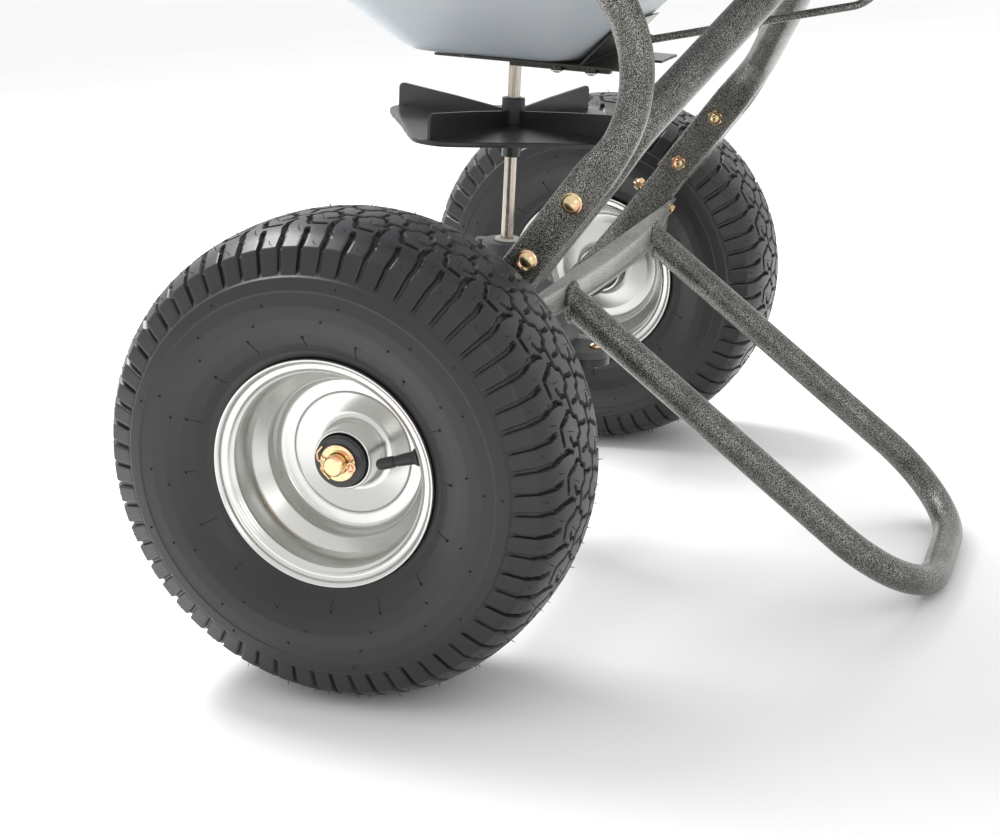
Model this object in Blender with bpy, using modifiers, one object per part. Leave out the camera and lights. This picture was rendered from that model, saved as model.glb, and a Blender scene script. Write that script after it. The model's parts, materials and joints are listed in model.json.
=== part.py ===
"""Walk-behind broadcast spreader on two pneumatic wheels.

Metres, +Z up, X along the axle (+X is the machine's left), -Y is forward.
Every sub-part is modelled in the frame's own axes: the origin is the axle's
centre and Z runs along the impeller shaft. The frame then leans back on its
stand, so that the tyres and the stand all touch the floor at Z = 0.
"""

import math

import bmesh
import bpy
from mathutils import Matrix, Vector

# ---------------------------------------------------------------- dimensions

WHEEL_RADIUS = 0.184        # 15 x 6.00-6 turf tyre
WHEEL_X = 0.332             # half of the track
AXLE_RADIUS = 0.0079        # 16 mm bar
AXLE_END_X = 0.3705
DRIVE_PIN_X = 0.279         # locks the right wheel's hub to the axle
TUBE_RADIUS = 0.0128        # 25.4 mm tube, painted
HANDLE_RADIUS = 0.0143      # 28.6 mm tube
GAP = 0.0003                # between touching pieces
CLEAR = 0.0006              # around a bolt or a pin in its hole

# Side joint: hoop, lower frame and handle are crushed flat and bolted together.
SIDE_ANGLE = math.radians(34.7)             # of the side tubes, from the shaft
ALONG_SIDE = Vector((0, math.sin(SIDE_ANGLE), math.cos(SIDE_ANGLE)))
REAR_OF_SIDE = Vector((0, math.cos(SIDE_ANGLE), -math.sin(SIDE_ANGLE)))
LOWER_BOLT = Vector((0, 0.1025, 0.143))
BOLT_PITCH = 0.0571
CRUSH_THICKNESS = 0.0144
CRUSH_WIDTH = 0.031
CRUSH_GROOVE = 0.003
LAYER_PITCH = CRUSH_THICKNESS + GAP
FRAME_X = 0.2311                            # middle layer: lower frame tubes
HOOP_X = FRAME_X + LAYER_PITCH
HANDLE_X = FRAME_X - LAYER_PITCH

# Stand: a U of tube, welded to the cross brace.
STAND_ANGLE = math.radians(34.9)
ALONG_STAND = Vector((0, math.cos(STAND_ANGLE), -math.sin(STAND_ANGLE)))
STAND_X = 0.130
STAND_TOP = Vector((0, 0.098, 0.086))
STAND_LENGTH = 0.385
STAND_BEND = 0.092

# Cross brace: an angle section, bowed to the rear.
BRACE_HALF = 0.216
BRACE_FRONT_Y = 0.0885
BRACE_END_Y = 0.091
BRACE_BOW = 0.013
BRACE_LOW_Z = 0.080
BRACE_TOP_Z = 0.098
BRACE_THICKNESS = 0.003
BRACE_BOLT_S = -0.050       # along the side tubes, from the lower bolt

# Hoop round the hopper.
HOOP_BEND = 0.100
HOOP_BEND_S = 0.0973        # where the bend starts, along the side tubes
HOOP_Z = 0.474
HOOP_FRONT_Y = -0.285
HOOP_CORNER = 0.11

# Handles: bent in behind the hopper, up in a narrow column, then out to grips.
COLUMN_X = 0.055
COLUMN_ANGLE = math.radians(36)
ALONG_COLUMN = Vector((0, math.sin(COLUMN_ANGLE), math.cos(COLUMN_ANGLE)))
BEHIND_COLUMN = Vector((0, math.cos(COLUMN_ANGLE), -math.sin(COLUMN_ANGLE)))
HANDLE_IN = Vector((-0.78, 0.333, 0.53)).normalized()
HANDLE_BEND_Z = 0.242
COLUMN_LENGTH = 0.60
GRIP_END_X = 0.27
GRIP_LENGTH = 0.125
GRIP_RADIUS = 0.0178

# Impeller and its shaft.
SHAFT_RADIUS = 0.0055
SHAFT_BOTTOM_Z = 0.036
SHAFT_TOP_Z = 0.318
PLATE_Z = 0.201             # top of the impeller plate
PLATE_CORNER = 0.128        # reach of the plate's corners
PLATE_SIDE = 0.099          # reach of its sides
FIN_ANGLE = math.radians(-14.5)

# Bevel gears, apex at the axle's centre.
RING_TEETH = 36
PINION_TEETH = 9
RING_RADIUS = 0.056
PINION_RADIUS = RING_RADIUS * PINION_TEETH / RING_TEETH

# Gearbox.
BOX_INNER_RADIUS = 0.0625
BOX_WALL = 0.0035
BOX_X = (-0.027, 0.034)
BOSS_RADIUS = 0.0222
BOSS_TOP_Z = 0.0953

# Hopper: outer sections as (z, half width, front y, rear y, corner radius).
HOPPER_SECTIONS = (
    (0.2655, 0.063, -0.083, 0.071, 0.030),
    (0.270, 0.072, -0.092, 0.079, 0.036),
    (0.330, 0.128, -0.170, 0.134, 0.062),
    (0.430, 0.197, -0.243, 0.208, 0.080),
    (0.446, 0.205, -0.250, 0.214, 0.084),
    (0.482, 0.210, -0.254, 0.219, 0.086),
    (0.4885, 0.214, -0.258, 0.222, 0.088),
    (0.4905, 0.258, -0.303, 0.245, 0.090),
    (0.502, 0.266, -0.311, 0.253, 0.096),
    (0.670, 0.276, -0.322, 0.263, 0.104),
    (0.676, 0.287, -0.333, 0.274, 0.112),
    (0.688, 0.289, -0.335, 0.276, 0.114),
)
HOPPER_WALL = 0.004
PORT_X = 0.031              # the discharge ports, either side of the shaft
PORT_Y = -0.012
PORT_RADIUS = 0.0125
HOPPER_BOTTOM_Z = HOPPER_SECTIONS[0][0]

# Shut-off under the hopper.
BASE_TOP_Z = 0.2650
BASE_THICKNESS = 0.0022
GATE_Z = 0.2603
GATE_THICKNESS = 0.0020
GATE_TRAVEL = 0.030         # to the rear, from open to shut
ROD_RADIUS = 0.0033
ROD_PIN = Vector((0, 0.112, 0.2815))        # gate end of the control rod
ROD_BEND = Vector((0, 0.297, 0.3265))

# Control lever, pivoted between the handle tubes.
COLUMN_FOOT = Vector((0, 0.24, 0.351))
TIE_S = 0.075                               # the tie plate's place along the column
LEVER_S = 0.46                              # and the lever's pivot
LEVER_PIVOT = COLUMN_FOOT + ALONG_COLUMN * LEVER_S
LEVER_ARM = 0.059
LEVER_ARM_ANGLE = math.radians(-11)         # from square to the column, with the gate open
LEVER_PIN = LEVER_PIVOT + LEVER_ARM * (
    BEHIND_COLUMN * math.cos(LEVER_ARM_ANGLE) + ALONG_COLUMN * math.sin(LEVER_ARM_ANGLE)
)
LEVER_PLATE_X = 0.0065      # the lever lies beside the rod, which is at X = 0
LEVER_THICKNESS = 0.004
LEVER_LENGTH = 0.132
LEVER_REST = math.radians(12)               # the lever leans to the operator with the gate open
QUADRANT_X = 0.0145
STOP_RADIUS = 0.048
STOP_ANGLE = math.radians(30)

# The frame leans back until the stand's cross bar rests on the floor.
BAR = STAND_TOP + ALONG_STAND * STAND_LENGTH
BAR_REACH = math.hypot(BAR.y, BAR.z)
LEAN = math.asin((WHEEL_RADIUS - TUBE_RADIUS) / BAR_REACH) - math.atan2(-BAR.z, BAR.y)
MIDDLE_Y = 0.2232           # moves the bounding box's centre to Y = 0

# ----------------------------------------------------------------- materials

MATERIALS = {
    "frame_paint": ((0.090, 0.090, 0.086), 0.42, 0.35),
    "brace_paint": ((0.240, 0.240, 0.230), 0.42, 0.35),
    "zinc": ((0.66, 0.66, 0.64), 0.28, 1.0),
    "yellow_zinc": ((0.72, 0.52, 0.24), 0.30, 1.0),
    "steel": ((0.52, 0.49, 0.44), 0.30, 1.0),
    "tyre": ((0.028, 0.028, 0.030), 0.70, 0.0),
    "rubber": ((0.022, 0.022, 0.022), 0.65, 0.0),
    "hopper_plastic": ((0.36, 0.41, 0.44), 0.45, 0.0),
    "black_plastic": ((0.018, 0.018, 0.020), 0.35, 0.0),
    "gearbox_grey": ((0.060, 0.062, 0.065), 0.45, 0.0),
    "bushing_plastic": ((0.68, 0.66, 0.60), 0.50, 0.0),
    "gear_metal": ((0.30, 0.30, 0.31), 0.45, 0.9),
    "black_plate": ((0.030, 0.031, 0.028), 0.45, 0.2),
}


def material(slot):
    made = bpy.data.materials.get(slot)
    if made:
        return made
    colour, roughness, metallic = MATERIALS[slot]
    made = bpy.data.materials.new(slot)
    made.use_nodes = True
    shader = made.node_tree.nodes["Principled BSDF"]
    shader.inputs["Base Color"].default_value = (*colour, 1)
    shader.inputs["Roughness"].default_value = roughness
    shader.inputs["Metallic"].default_value = metallic
    return made


# ------------------------------------------------------------------- helpers


def clear_scene():
    for obj in list(bpy.data.objects):
        bpy.data.objects.remove(obj, do_unlink=True)


def joint_empty(name, parent=None, location=(0, 0, 0), rotation=(0, 0, 0)):
    empty = bpy.data.objects.new(name, None)
    bpy.context.collection.objects.link(empty)
    empty.location = location
    empty.rotation_euler = rotation
    empty.parent = parent
    return empty


def added(name, mesh, slot, parent):
    """The mesh as an object, smooth where its faces meet at a small angle."""
    mesh.materials.clear()
    mesh.materials.append(material(slot))
    if mesh.polygons:
        mesh.shade_smooth()
        mesh.set_sharp_from_angle(angle=math.radians(32))
    obj = bpy.data.objects.new(name, mesh)
    bpy.context.collection.objects.link(obj)
    if parent:
        # Sub-parts are modelled in the frame's axes, so a joint's own place is taken off.
        obj.parent = parent
        obj.location = -parent.location if parent.parent else Vector()
    return obj


def baked(obj):
    """The object's evaluated mesh, with the object itself removed."""
    bpy.context.view_layer.update()
    graph = bpy.context.evaluated_depsgraph_get()
    mesh = bpy.data.meshes.new_from_object(obj.evaluated_get(graph))
    mesh.transform(obj.matrix_world)
    bpy.data.objects.remove(obj, do_unlink=True)
    return mesh


def temporary(mesh):
    obj = bpy.data.objects.new("temporary", mesh)
    bpy.context.collection.objects.link(obj)
    return obj


def combined(mesh, tools, operation="DIFFERENCE"):
    """The mesh with each tool mesh cut from it, or joined to it."""
    for tool in tools:
        target = temporary(mesh)
        other = temporary(tool)
        modifier = target.modifiers.new(operation.title(), "BOOLEAN")
        modifier.operation = operation
        modifier.solver = "EXACT"
        modifier.object = other
        mesh = baked(target)
        bpy.data.objects.remove(other, do_unlink=True)
    return mesh


def mesh_from(work):
    mesh = bpy.data.meshes.new("part")
    bmesh.ops.recalc_face_normals(work, faces=work.faces)
    work.to_mesh(mesh)
    work.free()
    return mesh


def welded(mesh):
    """The mesh with its caps joined to its sides and its faces outward."""
    work = bmesh.new()
    work.from_mesh(mesh)
    bmesh.ops.remove_doubles(work, verts=work.verts, dist=0.00001)
    return mesh_from(work)


def box(low, high):
    work = bmesh.new()
    low, high = Vector(low), Vector(high)
    size = Matrix.Diagonal((*(high - low), 1))
    bmesh.ops.create_cube(work, size=1, matrix=Matrix.Translation((low + high) / 2) @ size)
    return mesh_from(work)


def cylinder(start, end, radius, end_radius=None, sides=16):
    start, end = Vector(start), Vector(end)
    axis = end - start
    turn = axis.to_track_quat("Z", "Y").to_matrix().to_4x4()
    work = bmesh.new()
    bmesh.ops.create_cone(
        work,
        cap_ends=True,
        segments=sides,
        radius1=radius,
        radius2=radius if end_radius is None else end_radius,
        depth=axis.length,
        matrix=Matrix.Translation((start + end) / 2) @ turn,
    )
    return mesh_from(work)


def turned(profile, steps, axis="Z", closed=False):
    """A profile of (radius, height), from top to bottom on its outer side, turned round an axis."""
    mesh = bpy.data.meshes.new("profile")
    count = len(profile)
    edges = [(i, (i + 1) % count) for i in range(count if closed else count - 1)]
    mesh.from_pydata([(radius, 0, height) for radius, height in profile], edges, [])
    obj = temporary(mesh)
    screw = obj.modifiers.new("Screw", "SCREW")
    screw.steps = steps
    screw.render_steps = steps
    screw.use_merge_vertices = True
    screw.merge_threshold = 0.00001
    solid = baked(obj)
    if axis == "X":
        solid.transform(Matrix.Rotation(math.pi / 2, 4, "Y"))
    return solid


def outline(points, thickness, plane=Matrix()):
    """A flat outline of (x, y), thickness / 2 each way from its plane."""
    curve = bpy.data.curves.new("outline", "CURVE")
    curve.dimensions = "2D"
    curve.fill_mode = "BOTH"
    curve.extrude = thickness / 2
    spline = curve.splines.new("POLY")
    spline.points.add(len(points) - 1)
    for point, (x, y) in zip(spline.points, points):
        point.co = (x, y, 0, 1)
    spline.use_cyclic_u = True
    mesh = welded(baked(temporary(curve)))
    mesh.transform(plane)
    return welded(mesh)


def arc(centre, radius, start, end, count):
    """Points (x, y) on an arc, with its angles in radians."""
    return [
        (
            centre[0] + radius * math.cos(start + (end - start) * i / count),
            centre[1] + radius * math.sin(start + (end - start) * i / count),
        )
        for i in range(count + 1)
    ]


def bent_path(corners, step=math.radians(12)):
    """Points along a path of (point, bend radius), with each corner made an arc."""
    path = [corners[0][0]]
    for (before, _), (corner, radius), (after, _) in zip(corners, corners[1:], corners[2:]):
        back = (before - corner).normalized()
        on = (after - corner).normalized()
        turn = math.pi - back.angle(on)
        if turn < 0.01:
            path.append(corner)
            continue
        reach = radius * math.tan(turn / 2)
        centre = corner + (back + on).normalized() * math.hypot(radius, reach)
        start = corner + back * reach - centre
        side = (corner + on * reach - centre) - start * math.cos(turn)
        side = side.normalized() * radius
        count = max(2, round(turn / step))
        for i in range(count + 1):
            angle = turn * i / count
            path.append(centre + start * math.cos(angle) + side * math.sin(angle))
    path.append(corners[-1][0])
    return path


def swept(path, shape_at, sides=12, across=Vector((1, 0, 0))):
    """A tube along the path. shape_at(distance from start, from end) gives its section."""
    lengths = [0.0]
    for a, b in zip(path, path[1:]):
        lengths.append(lengths[-1] + (b - a).length)
    work = bmesh.new()
    rings = []
    for i, point in enumerate(path):
        ahead = path[min(i + 1, len(path) - 1)] - point
        behind = point - path[max(i - 1, 0)]
        along = (ahead.normalized() + behind.normalized()).normalized()
        across = (across - along * across.dot(along)).normalized()
        up = along.cross(across)
        section = shape_at(lengths[i], lengths[-1] - lengths[i])
        rings.append([work.verts.new(point + across * u + up * v) for u, v in section(sides)])
    for ring, after in zip(rings, rings[1:]):
        for j in range(sides):
            k = (j + 1) % sides
            work.faces.new((ring[j], ring[k], after[k], after[j]))
    work.faces.new(rings[0])
    work.faces.new(rings[-1])
    return mesh_from(work)


def tube(path, radius, resolution=2):
    """A round bar along the path's points, closed at both ends."""
    curve = bpy.data.curves.new("tube", "CURVE")
    curve.dimensions = "3D"
    curve.bevel_depth = radius
    curve.bevel_resolution = resolution
    curve.use_fill_caps = True
    spline = curve.splines.new("POLY")
    spline.points.add(len(path) - 1)
    for point, place in zip(spline.points, path):
        point.co = (*place, 1)
    mesh = baked(temporary(curve))
    return welded(mesh)


def crushed_section(amount, radius, thickness, width, groove=0.0, shift=0.0):
    """A tube's section between round (amount 0) and flat (1), grooved on its outer side."""

    def points(sides):
        made = []
        for j in range(sides):
            angle = 2 * math.pi * (j + 0.5) / sides
            c, s = math.cos(angle), math.sin(angle)
            flat_u = math.copysign(abs(c) ** 0.5, c) * thickness / 2 + shift
            flat_v = math.copysign(abs(s) ** 0.85, s) * width / 2
            if groove * c > 0:
                flat_u -= groove * abs(c)
            u = radius * c * (1 - amount) + flat_u * amount
            v = radius * s * (1 - amount) + flat_v * amount
            made.append((u, v))
        return made

    return points


def eased(value, low, high):
    """0 at low and 1 at high, with no kink between."""
    t = min(max((value - low) / (high - low), 0), 1)
    return t * t * (3 - 2 * t)


def on_side(x, s):
    """A point on the side joint's line, s along it from the lower bolt."""
    point = LOWER_BOLT + ALONG_SIDE * s
    return Vector((x, point.y, point.z))


def mirrored(mesh):
    copy = mesh.copy()
    copy.transform(Matrix.Scale(-1, 4, Vector((1, 0, 0))))
    copy.flip_normals()
    return copy


def left_and_right(name, make, slot, parent):
    added(f"{name}_left", make(), slot, parent)
    added(f"{name}_right", mirrored(make()), slot, parent)


# --------------------------------------------------------------- side joints


def joint_holes(low_x, high_x, radius=0.004 + CLEAR):
    return [
        cylinder(on_side(low_x, s), on_side(high_x, s), radius, sides=12)
        for s in (0, BOLT_PITCH)
    ]


def brace_bolt_ends(front, rear):
    middle = on_side(FRAME_X, BRACE_BOLT_S)
    return middle - REAR_OF_SIDE * front, middle + REAR_OF_SIDE * rear


def hopper_hoop():
    """One tube: up from each side joint, forward and round the hopper."""
    half_turn = math.radians(60)
    start = on_side(HOOP_X - 0.0045, -0.0141)
    x = start.x
    middle = on_side(x, 0.077)
    bend_start = on_side(x, HOOP_BEND_S)
    turn = half_turn + SIDE_ANGLE
    elbow = bend_start + ALONG_SIDE * (HOOP_BEND * math.tan(turn / 2))
    rise = Vector((0, -math.sin(half_turn), math.cos(half_turn)))
    knee = elbow + rise * ((HOOP_Z - elbow.z) / rise.z)
    side = [
        (start, 0),
        (middle, 0),
        (on_side(x, 0.088), 0),
        (elbow, HOOP_BEND),
        (knee, 0.12),
        (Vector((x, HOOP_FRONT_Y, HOOP_Z)), HOOP_CORNER),
    ]
    other = [(Vector((-p.x, p.y, p.z)), r) for p, r in reversed(side)]
    path = bent_path(side + other)

    def shape(from_start, from_end):
        amount = 1 - eased(min(from_start, from_end), 0.0915, 0.128)
        return crushed_section(
            amount, TUBE_RADIUS, CRUSH_THICKNESS, CRUSH_WIDTH, CRUSH_GROOVE, 0.0045
        )

    solid = swept(path, shape)
    holes = joint_holes(HOOP_X - 0.02, HOOP_X + 0.02)
    return combined(solid, holes + [mirrored(hole) for hole in holes])


def lower_frame_tube():
    """From the side joint straight down to the axle, where it is pressed flat round the bushing."""
    axle_s = -LOWER_BOLT.length
    stations = (0.0715, 0.02, -0.03, -0.065, -0.085, -0.120, -0.142, axle_s, axle_s - 0.018)
    path = [on_side(FRAME_X, s) for s in stations[:-2]]
    path += [Vector((FRAME_X, 0, 0)), Vector((FRAME_X, -0.010, -0.0148))]

    def shape(from_top, _):
        crush = crushed_section(1, TUBE_RADIUS, CRUSH_THICKNESS, CRUSH_WIDTH)
        if from_top < 0.16:
            return crush
        amount = eased(from_top, 0.16, 0.215)
        thickness = CRUSH_THICKNESS + (0.006 - CRUSH_THICKNESS) * amount
        return crushed_section(1, TUBE_RADIUS, thickness, CRUSH_WIDTH + 0.002 * amount)

    solid = swept(path, shape)
    front, rear = brace_bolt_ends(0.03, 0.03)
    cuts = joint_holes(FRAME_X - 0.02, FRAME_X + 0.02)
    cuts.append(cylinder(front, rear, 0.0032 + CLEAR, sides=12))
    cuts.append(cylinder((FRAME_X - 0.02, 0, 0), (FRAME_X + 0.02, 0, 0), 0.0113, sides=20))
    return combined(solid, cuts)


def axle_bushing():
    """A flanged bushing in the pressed end of the lower frame tube."""
    half, flange = 0.0045, 0.0025
    return turned_at(
        [
            (0.0150, half + flange),
            (0.0150, half),
            (0.0110, half),
            (0.0110, -half - flange),
            (0.0082, -half - flange),
            (0.0082, half + flange),
        ],
        20,
        FRAME_X,
    )


def turned_at(profile, steps, x, closed=True):
    solid = turned(profile, steps, "X", closed)
    solid.transform(Matrix.Translation((x, 0, 0)))
    return solid


def carriage_bolt(s):
    """A domed head in the hoop's groove, with its shank through all three tubes."""
    head = HOOP_X + CRUSH_THICKNESS / 2 - CRUSH_GROOVE + GAP
    tip = HANDLE_X - CRUSH_THICKNESS / 2 - 0.0065
    profile = [(0, head + 0.0052), (0.0032, head + 0.0048), (0.0061, head + 0.0033), (0.0081, head + 0.0008)]
    profile += [(0.0081, head), (0.004, head), (0.004, tip), (0, tip)]
    solid = turned(profile, 16, "X")
    solid.transform(Matrix.Translation(on_side(0, s)))
    return solid


def hex_nut(across_flats, height, bore):
    work = cylinder((0, 0, 0), (height, 0, 0), across_flats / math.sqrt(3), sides=6)
    return combined(work, [cylinder((-0.01, 0, 0), (height + 0.01, 0, 0), bore, sides=12)])


def joint_nut(s):
    solid = hex_nut(0.0128, 0.0062, 0.004 + GAP)
    inner_face = HANDLE_X - CRUSH_THICKNESS / 2
    solid.transform(Matrix.Translation(on_side(inner_face - 0.0062 + 0.0012, s)))
    return solid


def brace_bolt():
    """Through the lower frame tube from behind: head on the brace's tab, nut in front."""
    front, rear = brace_bolt_ends(CRUSH_WIDTH / 2 + 0.0095, CRUSH_WIDTH / 2 + GAP + BRACE_THICKNESS + GAP)
    outward = REAR_OF_SIDE
    head = cylinder(rear, rear + outward * 0.0045, 0.0065, sides=6)
    shank = cylinder(front, rear + outward * 0.002, 0.0032, sides=12)
    nut = cylinder(front + outward * 0.0028, front + outward * 0.0085, 0.0065, sides=6)
    return combined(shank, [head, nut], "UNION")


# ------------------------------------------------------- brace and the stand


def brace_rear_y(x):
    return BRACE_END_Y + BRACE_BOW * (1 - (x / BRACE_HALF) ** 2)


def cross_brace():
    """A bowed angle section with a tab at each end, bolted behind the lower frame tubes."""
    count = 20
    path_x = [BRACE_HALF * (2 * i / count - 1) for i in range(count + 1)]
    work = bmesh.new()
    rings = []
    for x in path_x:
        rear = brace_rear_y(x) + BRACE_THICKNESS
        web = rear - BRACE_THICKNESS
        section = (
            (BRACE_FRONT_Y, BRACE_TOP_Z),
            (rear, BRACE_TOP_Z),
            (rear, BRACE_LOW_Z),
            (web, BRACE_LOW_Z),
            (web, BRACE_TOP_Z - BRACE_THICKNESS),
            (BRACE_FRONT_Y, BRACE_TOP_Z - BRACE_THICKNESS),
        )
        rings.append([work.verts.new((x, y, z)) for y, z in section])
    for ring, after in zip(rings, rings[1:]):
        for j in range(6):
            k = (j + 1) % 6
            work.faces.new((ring[j], ring[k], after[k], after[j]))
    work.faces.new(rings[0])
    work.faces.new(rings[-1])
    solid = mesh_from(work)
    tab_points = arc((0, 0), 0.0125, -math.pi / 2, math.pi / 2, 8) + [(-0.030, 0.0125), (-0.030, -0.0125)]
    for side in (1, -1):
        middle = on_side(side * FRAME_X, BRACE_BOLT_S)
        middle += REAR_OF_SIDE * (CRUSH_WIDTH / 2 + GAP + BRACE_THICKNESS / 2)
        flat = Matrix((
            (side, 0, 0, middle.x),
            (0, ALONG_SIDE.y, REAR_OF_SIDE.y, middle.y),
            (0, ALONG_SIDE.z, REAR_OF_SIDE.z, middle.z),
            (0, 0, 0, 1),
        ))
        tab = outline(tab_points, BRACE_THICKNESS)
        tab.transform(flat)
        tab = welded(tab)
        front, rear = brace_bolt_ends(0.04, 0.04)
        hole = cylinder(front, rear, 0.0032 + CLEAR, sides=12)
        solid = combined(solid, [tab], "UNION")
        solid = combined(solid, [hole if side > 0 else mirrored(hole)])
    return solid


def stand():
    """A U of tube with both legs cut to lie on the brace's web."""
    side = [
        (STAND_TOP + Vector((STAND_X, 0, 0)), 0),
        (BAR + Vector((STAND_X, 0, 0)), STAND_BEND),
    ]
    other = [(Vector((-p.x, p.y, p.z)), r) for p, r in reversed(side)]
    solid = tube(bent_path(side + other, math.radians(15)), TUBE_RADIUS, 4)
    face = brace_rear_y(STAND_X - TUBE_RADIUS) + BRACE_THICKNESS + GAP
    cut = box((-0.3, face - 0.06, 0.03), (0.3, face, 0.16))
    return combined(solid, [cut])


# --------------------------------------------------------------------- wheel

WHEEL_STEPS = 28
TYRE_HALF = 0.074
TREAD_HALF = 0.056
BEAD_RADIUS = 0.0775
VALVE_LEAN = math.radians(20)


def tyre_mesh():
    """A closed carcass section: tread, shoulders, rounded sidewalls, beads."""
    side = [
        (WHEEL_RADIUS, 0.0),
        (0.1832, 0.022),
        (0.1808, 0.042),
        (0.1750, TREAD_HALF),
        (0.1650, 0.0655),
        (0.1500, 0.0720),
        (0.1300, TYRE_HALF),
        (0.1120, 0.0705),
        (0.0980, 0.0620),
        (0.0890, 0.0535),
        (0.0866, 0.0512),
        (0.0808, 0.0490),
        (BEAD_RADIUS, 0.0340),
        (0.0860, 0.0330),
        (0.1000, 0.0440),
        (0.1300, 0.0600),
        (0.1560, 0.0500),
        (0.1690, 0.0250),
    ]
    outer = side[:12]
    inner = side[12:]
    loop = list(reversed(outer)) + [(r, -h) for r, h in outer[1:]]
    loop += [(r, -h) for r, h in inner] + [(0.1710, 0.0)] + list(reversed(inner))
    solid = turned(loop, WHEEL_STEPS, "X", closed=True)
    solid.transform(Matrix.Rotation(LEAN, 4, "X"))
    return solid


def rim_mesh():
    """A pressed rim: flanges, bead seats, drop centre, dished disc and a raised collar."""
    outer = [
        (0.0876, 0.0560),
        (0.0868, 0.0530),
        (0.0805, 0.0505),
        (0.0765, 0.0455),
        (0.0765, 0.0300),
        (0.0635, 0.0150),
        (0.0605, 0.0060),
    ]
    inner = [
        (0.0862, 0.0580),
        (0.0785, 0.0530),
        (0.0742, 0.0470),
        (0.0742, 0.0300),
        (0.0615, 0.0160),
        (0.0583, 0.0060),
        (0.0565, 0.0035),
    ]
    disc_front = [(0.0480, 0.0030), (0.0470, 0.0010), (0.0300, -0.0030), (0.0250, 0.0030), (0.0230, 0.0200)]
    loop = outer + [(r, -h) for r, h in reversed(outer)]
    loop += [(r, -h) for r, h in inner[:6]]
    loop += [(0.0560, -0.0010), (0.0475, -0.0015), (0.0300, -0.0055), (0.0240, -0.0250), (0.0202, -0.0250)]
    loop += [(0.0202, 0.0210), (0.0228, 0.0210)]
    loop += [(r, h) for r, h in reversed(disc_front)][1:]
    loop += list(reversed(inner))
    return turned(loop, WHEEL_STEPS, "X", closed=True)


def hub_bushing_mesh():
    outer, inner = 0.0272, -0.0640
    return turned(
        [(0.0192, outer), (0.0199, outer - 0.001), (0.0199, inner), (0.0083, inner), (0.0083, outer)],
        24, "X", closed=True,
    )


def washer_mesh(outer, bore, low, high):
    return turned([(outer, high), (outer, low), (bore, low), (bore, high)], 20, "X", closed=True)


def cotter_mesh():
    """A bow-tie of wire through the axle's end."""
    points = [(0.0, 0.0005, 0.0125), (0.0005, 0.0, 0.0), (0.001, -0.0005, -0.0125), (0.0045, 0.003, -0.0185)]
    eye = [(0.0, 0.0025 * math.cos(a), 0.0150 + 0.0025 * math.sin(a)) for a in
           [math.radians(d) for d in (-60, 0, 60, 120, 180, 225)]]
    path = [Vector(p) for p in reversed(eye)] + [Vector(p) for p in points]
    return tube(path, 0.0013)


def valve_mesh():
    """A snap-in rubber valve with its cap, standing in from the rim's well."""
    profile = [(0, 0.036), (0.0030, 0.0355), (0.0042, 0.0335), (0.0042, 0.0220), (0.0036, 0.0218)]
    profile += [(0.0036, 0.0210), (0.0040, 0.0205), (0.0052, 0.0060), (0.0072, 0.0030), (0.0072, 0), (0, 0)]
    solid = turned(profile, 12)
    return solid


def valve_place(side):
    """The valve stands in from the rim's outer well, on the wheel's rear side."""
    foot = Vector((side * (WHEEL_X + 0.0335), 0.0674, 0.0181))
    lean = Vector((0, -math.cos(VALVE_LEAN), -math.sin(VALVE_LEAN)))
    turn = lean.to_track_quat("Z", "X").to_matrix().to_4x4()
    return Matrix.Translation(foot) @ turn


def wheel(side, label, joint):
    shift = Matrix.Translation((side * WHEEL_X, 0, 0)) @ Matrix.Scale(side, 4, Vector((1, 0, 0)))
    pieces = (
        ("tyre", tyre_mesh(), "tyre"),
        ("rim", rim_mesh(), "zinc"),
        ("hub_bushing", hub_bushing_mesh(), "black_plastic"),
        ("hub_washer", washer_mesh(0.0141, 0.0083, 0.0276, 0.0292), "yellow_zinc"),
        ("cotter_pin", cotter_mesh(), "yellow_zinc"),
    )
    for name, solid, slot in pieces:
        if name == "cotter_pin":
            solid.transform(Matrix.Translation((0.0330, 0, 0)))
        solid.transform(shift)
        if side < 0:
            solid.flip_normals()
        if name == "hub_bushing" and side < 0:
            pin_hole = cylinder((-DRIVE_PIN_X, 0, -0.03), (-DRIVE_PIN_X, 0, 0.03), 0.0028, sides=12)
            solid = combined(solid, [pin_hole])
        added(f"{name}_{label}", solid, slot, joint)
    stem = valve_mesh()
    stem.transform(valve_place(side))
    added(f"valve_stem_{label}", stem, "rubber", joint)


def axle():
    solid = cylinder((-AXLE_END_X, 0, 0), (AXLE_END_X, 0, 0), AXLE_RADIUS, sides=20)
    holes = [
        cylinder((side * (WHEEL_X + 0.0335), 0, -0.02), (side * (WHEEL_X + 0.0335), 0, 0.02), 0.0022, sides=10)
        for side in (1, -1)
    ]
    holes.append(cylinder((-DRIVE_PIN_X, 0, -0.02), (-DRIVE_PIN_X, 0, 0.02), 0.0028, sides=12))
    return combined(solid, holes)


def axle_spacer():
    low, high = FRAME_X + 0.0074, WHEEL_X - 0.0645
    return turned([(0.0115, high), (0.0115, low), (0.0083, low), (0.0083, high)], 16, "X", closed=True)


# --------------------------------------------------------------------- gears


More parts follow.
